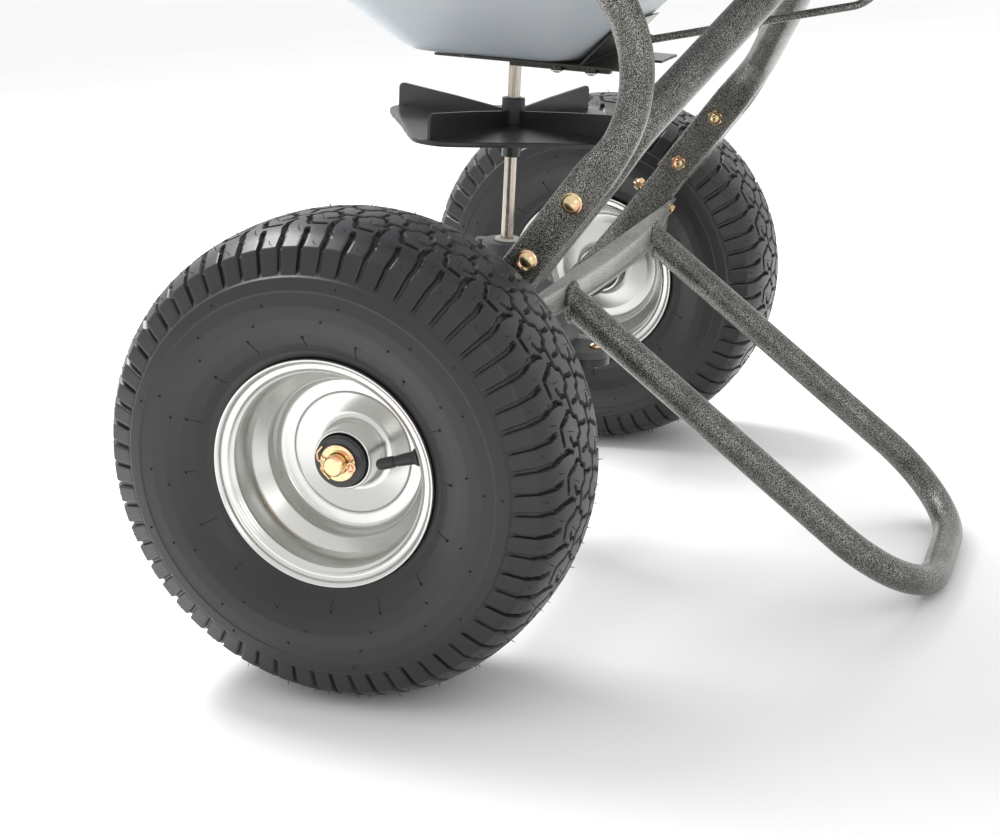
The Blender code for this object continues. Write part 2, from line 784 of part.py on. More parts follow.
def bevel_gear(teeth, radius, other_radius, bore, hub_radius, hub_length, phase):
    """A straight bevel gear round Z with its apex at the origin."""
    cone = math.atan2(radius, other_radius)
    out = Vector((math.sin(cone), math.cos(cone)))
    normal = Vector((math.cos(cone), -math.sin(cone)))
    is_pinion = radius < other_radius
    size = math.hypot(radius, other_radius)
    addendum, dedendum = 0.0019, 0.0028
    face = 0.70
    steps = ((-0.30, -dedendum), (-0.11, addendum), (0.11, addendum), (0.30, -dedendum))
    work = bmesh.new()

    def ring(make):
        made = []
        for tooth in range(teeth):
            for turn, height in steps:
                angle = phase + 2 * math.pi * (tooth + turn) / teeth
                r, z = make(height)
                made.append(work.verts.new((r * math.cos(angle), r * math.sin(angle), z)))
        return made

    def on_cone(scale):
        return lambda height: tuple((out * size + normal * height) * scale)

    outer = on_cone(1)(-dedendum)[1]
    back = outer + (0.0 if is_pinion else 0.006)
    front = on_cone(face)(-dedendum)[1] - (0.0 if is_pinion else -0.001)
    inside = hub_radius - 0.002
    rings = [ring(lambda h: (inside, back))]
    if not is_pinion:
        rings.append(ring(lambda h: (radius - 0.004, back)))
    rings.append(ring(on_cone(1)))
    rings.append(ring(on_cone(face)))
    rings.append(ring(lambda h: (inside, front)))
    count = teeth * len(steps)
    for ring_a, ring_b in zip(rings, rings[1:] + rings[:1]):
        for j in range(count):
            k = (j + 1) % count
            work.faces.new((ring_a[j], ring_a[k], ring_b[k], ring_b[j]))
    toothed = mesh_from(work)
    profile = [(hub_radius, back + hub_length), (hub_radius, front - 0.0005), (bore, front - 0.0005)]
    hub = turned(profile + [(bore, back + hub_length)], 20, closed=True)
    return combined(toothed, [hub], "UNION")


def ring_gear():
    """Turned so that a gap meets the pinion, straight above the axle."""
    half_tooth = math.pi / RING_TEETH
    solid = bevel_gear(RING_TEETH, RING_RADIUS, PINION_RADIUS, AXLE_RADIUS + GAP, 0.016, 0.006, half_tooth)
    solid.transform(Matrix.Rotation(math.pi / 2, 4, "Y"))
    return solid


def pinion():
    """Turned so that a tooth stands toward the ring gear at +X."""
    return bevel_gear(PINION_TEETH, PINION_RADIUS, RING_RADIUS, SHAFT_RADIUS + GAP, 0.0077, 0.010, 0.0)


# ------------------------------------------------------------------- gearbox


def gearbox_shell(upper):
    """One half of the housing: a drum round the axle, with a boss for the shaft on the upper half."""
    low_x, high_x = BOX_X
    outer = BOX_INNER_RADIUS + BOX_WALL
    solid = cylinder((low_x, 0, 0), (high_x, 0, 0), outer, sides=28)
    flange_z = 0.007 if upper else -0.007
    rear = box((-0.022, outer - 0.012, min(0, flange_z)), (0.022, 0.102, max(0, flange_z)))
    front = box((-0.016, -0.080, min(0, flange_z)), (0.016, -outer + 0.012, max(0, flange_z)))
    joins = [rear, front]
    if upper:
        joins.append(cylinder((0, 0, 0.04), (0, 0, BOSS_TOP_Z), BOSS_RADIUS, sides=24))
        for y in (-0.0235, 0.0235):
            joins.append(cylinder((0, y, 0.072), (0, y, BOSS_TOP_Z), 0.0062, sides=12))
    solid = combined(solid, joins, "UNION")
    cuts = [cylinder((low_x + BOX_WALL, 0, 0), (high_x - BOX_WALL, 0, 0), BOX_INNER_RADIUS, sides=28)]
    cuts.append(cylinder((-0.05, 0, 0), (0.05, 0, 0), AXLE_RADIUS + GAP, sides=20))
    if upper:
        cuts.append(cylinder((0, 0, 0.03), (0, 0, 0.0835), 0.0182, sides=20))
        cuts.append(cylinder((0, 0, 0.07), (0, 0, 0.12), 0.0094, sides=20))
    for y in (0.0885, -0.0735):
        cuts.append(cylinder((0, y, -0.02), (0, y, 0.02), 0.0031, sides=10))
    edge = GAP / 2
    low, high = (-0.2, edge) if upper else (-edge, 0.2)
    cuts.append(box((-0.2, -0.2, low), (0.2, 0.2, high)))
    return combined(solid, cuts)


def gearbox_bolt(y):
    """A pan-headed bolt down through both flanges."""
    profile = [(0, 0.0112), (0.0030, 0.0108), (0.0050, 0.0090), (0.0052, 0.0073), (0.0027, 0.0073)]
    profile += [(0.0027, -0.0073), (0.0050, -0.0073), (0.0050, -0.0110), (0, -0.0110)]
    solid = turned(profile, 12)
    solid.transform(Matrix.Translation((0, y, 0)))
    return solid


def shaft_bushing():
    """The pale flanged bushing in the top of the gearbox boss."""
    low, flange, top = 0.0838, BOSS_TOP_Z + GAP, BOSS_TOP_Z + 0.0024
    profile = [(0.0108, top), (0.0112, top - 0.0008), (0.0112, flange), (0.0091, flange), (0.0091, low)]
    profile += [(SHAFT_RADIUS + GAP, low), (SHAFT_RADIUS + GAP, top)]
    return turned(profile, 20, closed=True)


# ------------------------------------------------------------------ impeller


def impeller_shaft():
    return cylinder((0, 0, SHAFT_BOTTOM_Z), (0, 0, SHAFT_TOP_Z), SHAFT_RADIUS, sides=16)


def impeller():
    """A square plate with bulging sides and four fins along its diagonals."""
    outline_points = []
    for quarter in range(4):
        base = FIN_ANGLE + quarter * math.pi / 2
        corner = PLATE_CORNER - 0.001
        for turn, reach in ((-5, corner), (5, corner), (25, 0.106), (45, PLATE_SIDE), (65, 0.106)):
            angle = base + math.radians(turn)
            outline_points.append((reach * math.cos(angle), reach * math.sin(angle)))
    plate = outline(outline_points, 0.0042, Matrix.Translation((0, 0, PLATE_Z - 0.0021)))
    hub = cylinder((0, 0, PLATE_Z - 0.003), (0, 0, 0.2237), 0.0102, sides=20)
    collar = cylinder((0, 0, 0.1715), (0, 0, PLATE_Z - 0.002), 0.0085, sides=20)
    joins = [hub, collar]
    end = PLATE_CORNER - 0.003
    tip = 0.2222
    fin_side = [(0.007, PLATE_Z - 0.003), (end, PLATE_Z - 0.003)]
    fin_side += arc((end - 0.005, tip - 0.005), 0.005, 0, math.pi / 2, 4) + [(0.007, 0.2125)]
    upright = Matrix.Rotation(math.pi / 2, 4, "X")
    for quarter in range(4):
        turn = Matrix.Rotation(FIN_ANGLE + quarter * math.pi / 2, 4, "Z")
        joins.append(outline(fin_side, 0.0030, turn @ upright))
    solid = combined(plate, joins, "UNION")
    bore = cylinder((0, 0, 0.15), (0, 0, 0.25), SHAFT_RADIUS + GAP, sides=16)
    return combined(solid, [bore])


def agitator():
    """A collar on the shaft's top, inside the hopper, with two stirring fingers."""
    collar = cylinder((0, 0, 0.2865), (0, 0, 0.3010), 0.0110, sides=16)
    corners = [
        (Vector((-0.040, 0.004, 0.318)), 0),
        (Vector((-0.030, 0.002, 0.2935)), 0.008),
        (Vector((0.030, -0.002, 0.2935)), 0.008),
        (Vector((0.040, -0.004, 0.318)), 0),
    ]
    wire = tube(bent_path(corners, math.radians(25)), 0.0028)
    solid = combined(collar, [wire], "UNION")
    bore = cylinder((0, 0, 0.25), (0, 0, 0.35), SHAFT_RADIUS + GAP, sides=16)
    return combined(solid, [bore])


# -------------------------------------------------------------------- hopper


def rounded_rectangle(half_x, front, rear, radius, per_corner=5):
    points = []
    corners = ((half_x, rear, 0), (-half_x, rear, 1), (-half_x, front, 2), (half_x, front, 3))
    for x, y, quarter in corners:
        centre = (x - math.copysign(radius, x), y - radius if y == rear else y + radius)
        start = quarter * math.pi / 2
        points += arc(centre, radius, start, start + math.pi / 2, per_corner)
    return points


def port_cylinders(low, high, radius):
    """The two discharge ports, left and right of the shaft."""
    return [cylinder((x, PORT_Y, low), (x, PORT_Y, high), radius, sides=16) for x in (-PORT_X, PORT_X)]


def hopper():
    """A moulded tub: funnel, shoulder over the hoop, walls and a rolled rim."""
    outer = list(HOPPER_SECTIONS)
    inner = []
    for z, half, front, rear, radius in reversed(outer[:-2]):
        wall = HOPPER_WALL
        lift = wall if z < 0.30 or 0.4895 < z < 0.51 else wall * 0.6
        inner.append((z + lift, half - wall, front + wall, rear - wall, radius - wall * 0.6))
    inner[0] = (outer[-1][0], *inner[0][1:])
    work = bmesh.new()
    rings = []
    for z, half, front, rear, radius in outer + inner:
        rings.append([work.verts.new((x, y, z)) for x, y in rounded_rectangle(half, front, rear, radius)])
    count = len(rings[0])
    for ring, after in zip(rings, rings[1:]):
        for j in range(count):
            k = (j + 1) % count
            work.faces.new((ring[j], ring[k], after[k], after[j]))
    work.faces.new(rings[0])
    work.faces.new(rings[-1])
    solid = mesh_from(work)
    cuts = [cylinder((0, 0, 0.25), (0, 0, 0.2785), 0.0096, sides=16)]
    return combined(solid, cuts + port_cylinders(0.25, 0.2785, PORT_RADIUS))


def hopper_bushing():
    """Guides the shaft through the shut-off and the hopper's floor."""
    low, top = BASE_TOP_Z - BASE_THICKNESS - 0.002, HOPPER_BOTTOM_Z + HOPPER_WALL + 0.002
    floor = HOPPER_BOTTOM_Z + HOPPER_WALL + GAP
    profile = [(0.0130, top), (0.0130, floor), (0.0093, floor), (0.0093, low)]
    profile += [(SHAFT_RADIUS + GAP, low), (SHAFT_RADIUS + GAP, top)]
    return turned(profile, 16, closed=True)


def base_plate():
    """The black plate under the hopper: a flange up the funnel's rear wall, and rails for the gate below."""
    top = BASE_TOP_Z
    low = top - BASE_THICKNESS
    rail_low = GATE_Z - 0.0023
    solid = outline(
        [(-0.064, 0.128), (-0.064, -0.024), (-0.058, -0.029)] + [(0.058, -0.029), (0.064, -0.024), (0.064, 0.128)],
        BASE_THICKNESS,
        Matrix.Translation((0, 0, top - BASE_THICKNESS / 2)),
    )
    # The flange leans with the funnel's wall, 1.5 mm behind it.
    flange = [(0.0750, 0.2640), (0.1080, 0.3000), (0.1108, 0.3000), (0.0778, 0.2640)]
    sideways = Matrix(((0, 0, 1, 0), (1, 0, 0, 0), (0, 1, 0, 0), (0, 0, 0, 1)))
    joins = [outline(flange, 0.120, sideways)]
    rail = [(0.0500, top - 0.001), (0.0475, top - 0.001), (0.0475, rail_low + 0.0018)]
    rail += [(0.0420, rail_low + 0.0018), (0.0420, rail_low), (0.0500, rail_low)]
    for side in (1, -1):
        along = Matrix(((side, 0, 0, 0), (0, 0, 1, 0.037), (0, 1, 0, 0), (0, 0, 0, 1)))
        joins.append(outline(rail, 0.126, along))
        for y in (0.056, 0.086):
            x = side * 0.056
            joins.append(cylinder((x, y, low - 0.0038), (x, y, low + 0.001), 0.0036, sides=12))
    solid = combined(solid, joins, "UNION")
    cuts = port_cylinders(0.24, 0.268, PORT_RADIUS + 0.001)
    cuts.append(cylinder((0, 0, 0.24), (0, 0, 0.268), 0.0096, sides=16))
    cuts.append(box((-0.012, 0.099, 0.25), (0.012, 0.14, 0.27)))
    return combined(solid, cuts)


def gate():
    """The shut-off slide under the base plate, with a lug that stands up through the plate's slot."""
    low, high = GATE_Z, GATE_Z + GATE_THICKNESS
    solid = box((-0.046, -0.058, low), (0.046, 0.068, high))
    tongue = box((-0.011, 0.060, low), (0.011, 0.119, high))
    lug = box((-0.0080, 0.1050, low), (-0.0055, 0.119, 0.2870))
    solid = combined(solid, [tongue, lug], "UNION")
    cuts = [cylinder((0, y, 0.25), (0, y, 0.27), 0.0100, sides=16) for y in (0, -GATE_TRAVEL)]
    cuts.append(box((-0.0100, -GATE_TRAVEL, 0.25), (0.0100, 0, 0.27)))
    cuts += port_cylinders(0.25, 0.27, PORT_RADIUS)
    cuts.append(cylinder((-0.02, ROD_PIN.y, ROD_PIN.z), (0, ROD_PIN.y, ROD_PIN.z), 0.0025, sides=10))
    return combined(solid, cuts)


# ------------------------------------------------------------------ controls


def control_rod():
    """A painted rod from the gate, rising to the rear and then up behind the handle column."""
    top = LEVER_PIN
    corners = [
        (Vector((0, ROD_PIN.y, ROD_PIN.z)), 0),
        (ROD_BEND, 0.03),
        (top, 0),
    ]
    body = tube(bent_path(corners), ROD_RADIUS)
    joins = [
        cylinder((-0.0035, ROD_PIN.y, ROD_PIN.z), (0.0035, ROD_PIN.y, ROD_PIN.z), 0.0052, sides=14),
        cylinder((-0.0105, ROD_PIN.y, ROD_PIN.z), (0, ROD_PIN.y, ROD_PIN.z), 0.0021, sides=10),
        cylinder((0.0032, top.y, top.z), (-0.0032, top.y, top.z), 0.0085, sides=16),
    ]
    solid = combined(body, joins, "UNION")
    eye = cylinder((-0.02, top.y, top.z), (0.02, top.y, top.z), 0.0048, sides=14)
    return combined(solid, [eye])


def column_plane(x):
    """Axes for an outline in the column's side view: its x runs up the column, its y behind it."""
    return Matrix((
        (0, 0, 1, x),
        (ALONG_COLUMN.y, BEHIND_COLUMN.y, 0, LEVER_PIVOT.y),
        (ALONG_COLUMN.z, BEHIND_COLUMN.z, 0, LEVER_PIVOT.z),
        (0, 0, 0, 1),
    ))


def control_lever():
    """A bell crank: a short arm back to the rod's pin and a long one up to the knob."""
    arm_end = (LEVER_ARM * math.sin(LEVER_ARM_ANGLE), LEVER_ARM * math.cos(LEVER_ARM_ANGLE))
    c, s = math.cos(LEVER_REST), math.sin(LEVER_REST)
    long_arm = arc((0, 0), 0.013, math.radians(180), math.radians(250), 4)
    long_arm += [(0.125, -0.008)] + arc((LEVER_LENGTH, 0.0), 0.008, math.radians(-60), math.radians(70), 5)
    long_arm += [(0.030, 0.011)]
    points = arc(arm_end, 0.009, math.radians(10), math.radians(150), 6)
    points += [(x * c - y * s, x * s + y * c) for x, y in long_arm] + [(0.013, 0.022)]
    plate = outline(points, LEVER_THICKNESS)
    plate.transform(column_plane(LEVER_PLATE_X))
    plate = welded(plate)
    across = Vector((1, 0, 0))
    pin = cylinder(LEVER_PIN + across * 0.005, LEVER_PIN - across * 0.0075, 0.0030, sides=12)
    solid = combined(plate, [pin], "UNION")
    bore = cylinder(LEVER_PIVOT - across * 0.03, LEVER_PIVOT + across * 0.03, 0.0036, sides=12)
    return combined(solid, [bore])


def lever_knob():
    """A ball-ended knob pressed over the lever's tip."""
    profile = [(0, 0.036), (0.0065, 0.0345), (0.0115, 0.0300), (0.0135, 0.0230)]
    profile += [(0.0120, 0.0150), (0.0085, 0.0070), (0.0080, 0), (0, 0)]
    solid = turned(profile, 16)
    along = ALONG_COLUMN * math.cos(LEVER_REST) + BEHIND_COLUMN * math.sin(LEVER_REST)
    base = LEVER_PIVOT + along * (LEVER_LENGTH + 0.0083) + Vector((LEVER_PLATE_X, 0, 0))
    turn = along.to_track_quat("Z", "X").to_matrix().to_4x4()
    solid.transform(Matrix.Translation(base) @ turn)
    return solid


def lever_pivot_bolt():
    head = 0.0205
    profile = [(0, head + 0.004), (0.0070, head + 0.004), (0.0070, head), (0.0033, head), (0.0033, -0.0062)]
    profile += [(0.0075, -0.0062), (0.0075, -0.0112), (0, -0.0112)]
    solid = turned(profile, 12, "X")
    solid.transform(Matrix.Translation(LEVER_PIVOT))
    return solid


def control_console():
    """A bracket across the handle tubes, with an upright quadrant that the lever and the stop turn on."""
    points = arc((0, 0), 0.060, math.radians(-35), math.radians(60), 10)
    points += arc((0, 0), 0.012, math.radians(110), math.radians(250), 6)
    quadrant = outline(points, 0.003)
    quadrant.transform(column_plane(QUADRANT_X))
    quadrant = welded(quadrant)
    slot = arc((0, 0), STOP_RADIUS + 0.0028, math.radians(-24), math.radians(44), 10)
    slot += list(reversed(arc((0, 0), STOP_RADIUS - 0.0028, math.radians(-24), math.radians(44), 10)))
    slot_cut = outline(slot, 0.02)
    slot_cut.transform(column_plane(QUADRANT_X))
    slot_cut = welded(slot_cut)
    base = LEVER_PIVOT
    strap_half = COLUMN_X + 0.012
    offset = -(HANDLE_RADIUS + GAP + 0.0015)
    strap = outline(
        [(-0.030, -0.0015), (0.011, -0.0015), (0.011, 0.0015), (-0.030, 0.0015)], 2 * strap_half
    )
    frame = Matrix((
        (0, 0, 1, 0),
        (ALONG_COLUMN.y, BEHIND_COLUMN.y, 0, base.y + BEHIND_COLUMN.y * offset),
        (ALONG_COLUMN.z, BEHIND_COLUMN.z, 0, base.z + BEHIND_COLUMN.z * offset),
        (0, 0, 0, 1),
    ))
    strap.transform(frame)
    strap = welded(strap)
    web = outline([(-0.028, -0.0172), (0.0105, -0.0172), (0.012, 0.0), (-0.012, 0.002)], 0.003)
    web.transform(column_plane(QUADRANT_X))
    web = welded(web)
    solid = combined(strap, [web, quadrant], "UNION")
    bore = cylinder((-0.03, base.y, base.z), (0.05, base.y, base.z), 0.0036, sides=12)
    return combined(solid, [slot_cut, bore])


def stop_place():
    along = ALONG_COLUMN * math.cos(STOP_ANGLE) + BEHIND_COLUMN * math.sin(STOP_ANGLE)
    return LEVER_PIVOT + along * STOP_RADIUS


def rate_stop_bolt():
    """Its head stands in the lever's way, its shank runs in the quadrant's slot."""
    inner = QUADRANT_X - 0.0015 - GAP
    profile = [(0, 0.0272), (0.0022, 0.0272), (0.0022, inner), (0.0048, inner)]
    profile += [(0.0048, inner - 0.0030), (0, inner - 0.0030)]
    solid = turned(profile, 12, "X")
    solid.transform(Matrix.Translation(stop_place()))
    return solid


def rate_stop_knob():
    """A wing-edged hand nut outside the quadrant."""
    low = QUADRANT_X + 0.0015 + GAP
    profile = [(0.0105, low + 0.0090), (0.0118, low + 0.0075), (0.0118, low + 0.0030), (0.0060, low)]
    profile += [(0.0022 + GAP, low), (0.0022 + GAP, low + 0.0090)]
    solid = turned(profile, 14, "X", closed=True)
    solid.transform(Matrix.Translation(stop_place()))
    return solid


# ------------------------------------------------------------------- handles


def handle_tube():
    """From the side joint in behind the hopper, up the column and out to the grip."""
    bend = on_side(HANDLE_X, (HANDLE_BEND_Z - LOWER_BOLT.z) / ALONG_SIDE.z)
    foot = bend + HANDLE_IN * ((bend.x - COLUMN_X) / -HANDLE_IN.x)
    top = foot + ALONG_COLUMN * COLUMN_LENGTH
    path = bent_path([
        (on_side(HANDLE_X, -0.017), 0),
        (on_side(HANDLE_X, 0.075), 0),
        (on_side(HANDLE_X, 0.090), 0),
        (bend, 0.05),
        (foot, 0.06),
        (top, 0.055),
        (Vector((GRIP_END_X, top.y + 0.028, top.z + 0.006)), 0),
    ], math.radians(14))

    def shape(from_start, _):
        amount = 1 - eased(from_start, 0.090, 0.140)
        return crushed_section(
            amount, HANDLE_RADIUS, CRUSH_THICKNESS, CRUSH_WIDTH + 0.001, -CRUSH_GROOVE * 0.4
        )

    solid = swept(path, shape)
    return combined(solid, joint_holes(HANDLE_X - 0.02, HANDLE_X + 0.02))


def grip():
    """A rubber sleeve with a closed, rounded end."""
    bend = on_side(HANDLE_X, (HANDLE_BEND_Z - LOWER_BOLT.z) / ALONG_SIDE.z)
    foot = bend + HANDLE_IN * ((bend.x - COLUMN_X) / -HANDLE_IN.x)
    top = foot + ALONG_COLUMN * COLUMN_LENGTH
    end = Vector((GRIP_END_X, top.y + 0.028, top.z + 0.006))
    along = (end - top).normalized()
    bore = HANDLE_RADIUS + GAP
    profile = [(0, 0.006), (0.012, 0.0055), (GRIP_RADIUS, 0.001), (GRIP_RADIUS, -GRIP_LENGTH + 0.004)]
    profile += [(GRIP_RADIUS + 0.0035, -GRIP_LENGTH + 0.002), (GRIP_RADIUS + 0.0035, -GRIP_LENGTH)]
    profile += [(bore, -GRIP_LENGTH), (bore, GAP), (0, GAP)]
    solid = turned(profile, 16)
    turn = along.to_track_quat("Z", "X").to_matrix().to_4x4()
    solid.transform(Matrix.Translation(end) @ turn)
    return solid


def handle_tie():
    """A saddle plate that ties the two handle tubes together at the foot of the column."""
    base = COLUMN_FOOT + ALONG_COLUMN * TIE_S
    offset = HANDLE_RADIUS + GAP + 0.0015
    half = COLUMN_X + 0.011
    points = [(-half, -0.018), (half, -0.018), (half, 0.018), (-half, 0.018)]
    plate = outline(points, 0.003)
    frame = Matrix((
        (1, 0, 0, 0),
        (0, ALONG_COLUMN.y, -BEHIND_COLUMN.y, base.y - BEHIND_COLUMN.y * offset),
        (0, ALONG_COLUMN.z, -BEHIND_COLUMN.z, base.z - BEHIND_COLUMN.z * offset),
        (0, 0, 0, 1),
    ))
    plate.transform(frame)
    return welded(plate)


def drive_pin():
    """Locks the right wheel's hub to the axle."""
    return cylinder((-DRIVE_PIN_X, 0, -0.024), (-DRIVE_PIN_X, 0, 0.024), 0.0025, sides=12)


# ------------------------------------------------------------------ assembly


def main():
    clear_scene()
    frame = joint_empty("frame", None, (0, -MIDDLE_Y, WHEEL_RADIUS), (-LEAN, 0, 0))
    axle_joint = joint_empty("axle_joint", frame)
    free_wheel_joint = joint_empty("free_wheel_joint", frame)
    impeller_joint = joint_empty("impeller_joint", frame)
    gate_joint = joint_empty("gate_joint", frame)
    rod_joint = joint_empty("rod_joint", frame, ROD_PIN)
    lever_joint = joint_empty("lever_joint", frame, LEVER_PIVOT)
    stop_joint = joint_empty("stop_joint", frame, LEVER_PIVOT)

    added("hopper_hoop", hopper_hoop(), "frame_paint", frame)
    left_and_right("lower_frame_tube", lower_frame_tube, "frame_paint", frame)
    left_and_right("handle_tube", handle_tube, "frame_paint", frame)
    left_and_right("axle_bushing", axle_bushing, "black_plastic", frame)
    for place, s in (("lower", 0), ("upper", BOLT_PITCH)):
        left_and_right(f"carriage_bolt_{place}", lambda: carriage_bolt(s), "yellow_zinc", frame)
        left_and_right(f"joint_nut_{place}", lambda: joint_nut(s), "yellow_zinc", frame)
    left_and_right("brace_bolt", brace_bolt, "yellow_zinc", frame)
    added("cross_brace", cross_brace(), "brace_paint", frame)
    added("stand", stand(), "frame_paint", frame)
    left_and_right("grip", grip, "rubber", frame)
    added("handle_tie", handle_tie(), "black_plate", frame)
    left_and_right("axle_spacer", axle_spacer, "zinc", axle_joint)

    added("gearbox_upper", gearbox_shell(True), "gearbox_grey", frame)
    added("gearbox_lower", gearbox_shell(False), "black_plastic", frame)
    added("gearbox_bolt_rear", gearbox_bolt(0.0885), "yellow_zinc", frame)
    added("gearbox_bolt_front", gearbox_bolt(-0.0735), "yellow_zinc", frame)
    added("shaft_bushing", shaft_bushing(), "bushing_plastic", frame)

    added("hopper", hopper(), "hopper_plastic", frame)
    added("hopper_bushing", hopper_bushing(), "bushing_plastic", frame)
    added("base_plate", base_plate(), "black_plate", frame)
    added("control_console", control_console(), "black_plate", frame)
    added("lever_pivot_bolt", lever_pivot_bolt(), "yellow_zinc", frame)

    added("axle", axle(), "yellow_zinc", axle_joint)
    added("ring_gear", ring_gear(), "gear_metal", axle_joint)
    added("drive_pin", drive_pin(), "zinc", axle_joint)
    wheel(1, "left", free_wheel_joint)
    wheel(-1, "right", axle_joint)

    added("impeller_shaft", impeller_shaft(), "steel", impeller_joint)
    added("pinion", pinion(), "gear_metal", impeller_joint)
    added("impeller", impeller(), "black_plastic", impeller_joint)
    added("agitator", agitator(), "zinc", impeller_joint)

    added("gate", gate(), "black_plate", gate_joint)
    added("control_rod", control_rod(), "frame_paint", rod_joint)
    added("control_lever", control_lever(), "black_plate", lever_joint)
    added("lever_knob", lever_knob(), "black_plastic", lever_joint)
    added("rate_stop_bolt", rate_stop_bolt(), "zinc", stop_joint)
    added("rate_stop_knob", rate_stop_knob(), "black_plastic", stop_joint)


main()
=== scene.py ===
"""Looks of the walk-behind broadcast spreader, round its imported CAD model.

Pieces are modelled in the machine's own axes, as the CAD is: the origin is the
axle's centre, X runs along the axle to the machine's left, -Y is forward and Z
runs along the impeller shaft. MACHINE then leans them back with the frame.
"""

import json
import math
from math import cos, pi, radians, sin

import bmesh
import bpy
import numpy as np
from mathutils import Matrix, Vector


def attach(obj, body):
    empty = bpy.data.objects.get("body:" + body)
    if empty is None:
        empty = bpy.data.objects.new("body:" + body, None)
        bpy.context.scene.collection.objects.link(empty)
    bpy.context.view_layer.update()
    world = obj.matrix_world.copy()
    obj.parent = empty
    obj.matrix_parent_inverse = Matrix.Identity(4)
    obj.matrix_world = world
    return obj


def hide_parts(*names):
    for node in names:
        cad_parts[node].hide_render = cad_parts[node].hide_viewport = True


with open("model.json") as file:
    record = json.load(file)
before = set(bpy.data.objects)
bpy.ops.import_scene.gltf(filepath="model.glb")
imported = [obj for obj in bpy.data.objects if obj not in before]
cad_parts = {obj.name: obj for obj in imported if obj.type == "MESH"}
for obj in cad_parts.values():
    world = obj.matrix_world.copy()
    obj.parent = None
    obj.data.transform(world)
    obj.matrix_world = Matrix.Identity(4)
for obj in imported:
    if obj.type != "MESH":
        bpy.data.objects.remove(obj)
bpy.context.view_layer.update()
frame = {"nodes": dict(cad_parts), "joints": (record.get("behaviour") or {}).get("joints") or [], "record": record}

JOINTS = {joint["name"]: joint for joint in frame["joints"]}
AXLE = Vector(JOINTS["axle_spin"]["pos_m"])
SHAFT = Vector(JOINTS["impeller_spin"]["axis"])
LEAN = math.atan2(SHAFT.y, SHAFT.z)
MACHINE = Matrix.Translation(AXLE) @ Matrix.Rotation(-LEAN, 4, "X")
SLOTS = {part["node"]: part["material_slot"] for part in frame["record"]["subparts"]}
BODIES = {node: body for body, nodes in frame["record"]["behaviour"]["bodies"].items() for node in nodes}


# ---------------------------------------------------------------- dimensions


def mm(*points):
    """Points given in millimetres, as metres."""
    return [tuple(c / 1000 for c in point) for point in points]


WHEEL_X = 0.332
AXLE_RADIUS = 0.0079
TUBE_RADIUS = 0.0128
HANDLE_RADIUS = 0.0143
SHAFT_RADIUS = 0.0055
GAP = 0.0003

SIDE_ANGLE = radians(34.7)
ALONG_SIDE = Vector((0, sin(SIDE_ANGLE), cos(SIDE_ANGLE)))
REAR_OF_SIDE = Vector((0, cos(SIDE_ANGLE), -sin(SIDE_ANGLE)))
LOWER_BOLT = Vector((0, 0.1025, 0.143))
BOLT_PITCH = 0.0571
CRUSH_THICKNESS = 0.0144
CRUSH_WIDTH = 0.031
CRUSH_GROOVE = 0.003
FRAME_X = 0.2311
LAYER_PITCH = CRUSH_THICKNESS + GAP
HOOP_X = FRAME_X + LAYER_PITCH
HANDLE_X = FRAME_X - LAYER_PITCH

STAND_ANGLE = radians(34.9)
ALONG_STAND = Vector((0, cos(STAND_ANGLE), -sin(STAND_ANGLE)))
STAND_X = 0.130
STAND_TOP = Vector((0, 0.098, 0.086))
STAND_LENGTH = 0.385
STAND_BEND = 0.092
BRACE_HALF = 0.216
BRACE_FRONT_Y = 0.0885
BRACE_END_Y = 0.091
BRACE_LOW_Z = 0.080
BRACE_TOP_Z = 0.098
BRACE_BOW = 0.013
BRACE_THICKNESS = 0.003
BRACE_BOLT_S = -0.050

HOOP_BEND = 0.100
HOOP_BEND_S = 0.0973
HOOP_LOW_S = -0.0141
HOOP_INSET = 0.0045         # of the round tube's centre line from the crushed end's
HOOP_SLOPE = radians(60)
HOOP_KNEE_BEND = 0.12
HOOP_FRONT_BEND = 0.11
HOOP_Z = 0.474
HOOP_FRONT_Y = -0.285

COLUMN_X = 0.055
COLUMN_ANGLE = radians(36)
ALONG_COLUMN = Vector((0, sin(COLUMN_ANGLE), cos(COLUMN_ANGLE)))
BEHIND_COLUMN = Vector((0, cos(COLUMN_ANGLE), -sin(COLUMN_ANGLE)))
COLUMN_FOOT = Vector((0, 0.24, 0.351))
HANDLE_IN = Vector((-0.78, 0.333, 0.53)).normalized()
HANDLE_LOW_S = -0.017
HANDLE_BEND_Z = 0.242
HANDLE_BENDS = (0.05, 0.06, 0.055)
COLUMN_LENGTH = 0.60
GRIP_END_X = 0.27
GRIP_LENGTH = 0.125
GRIP_RADIUS = 0.0178

VALVE_LEAN = radians(20)
VALVE_FOOT = Vector((WHEEL_X + 0.0335, 0.0674, 0.0181))
CAP_RIBS = 14
PIN_OUT = 0.0333
AXLE_END = 0.3705

PLATE_Z = 0.201
PLATE_CORNER = 0.128
FIN_ANGLE = radians(-14.5)
BOX_INNER_RADIUS = 0.0625
BOX_WALL = 0.0035
BOX_X = (-0.027, 0.034)
BOX_BOLT_Y = {"rear": 0.0885, "front": -0.0735}
BOSS_RADIUS = 0.0222
BOSS_TOP_Z = 0.0953

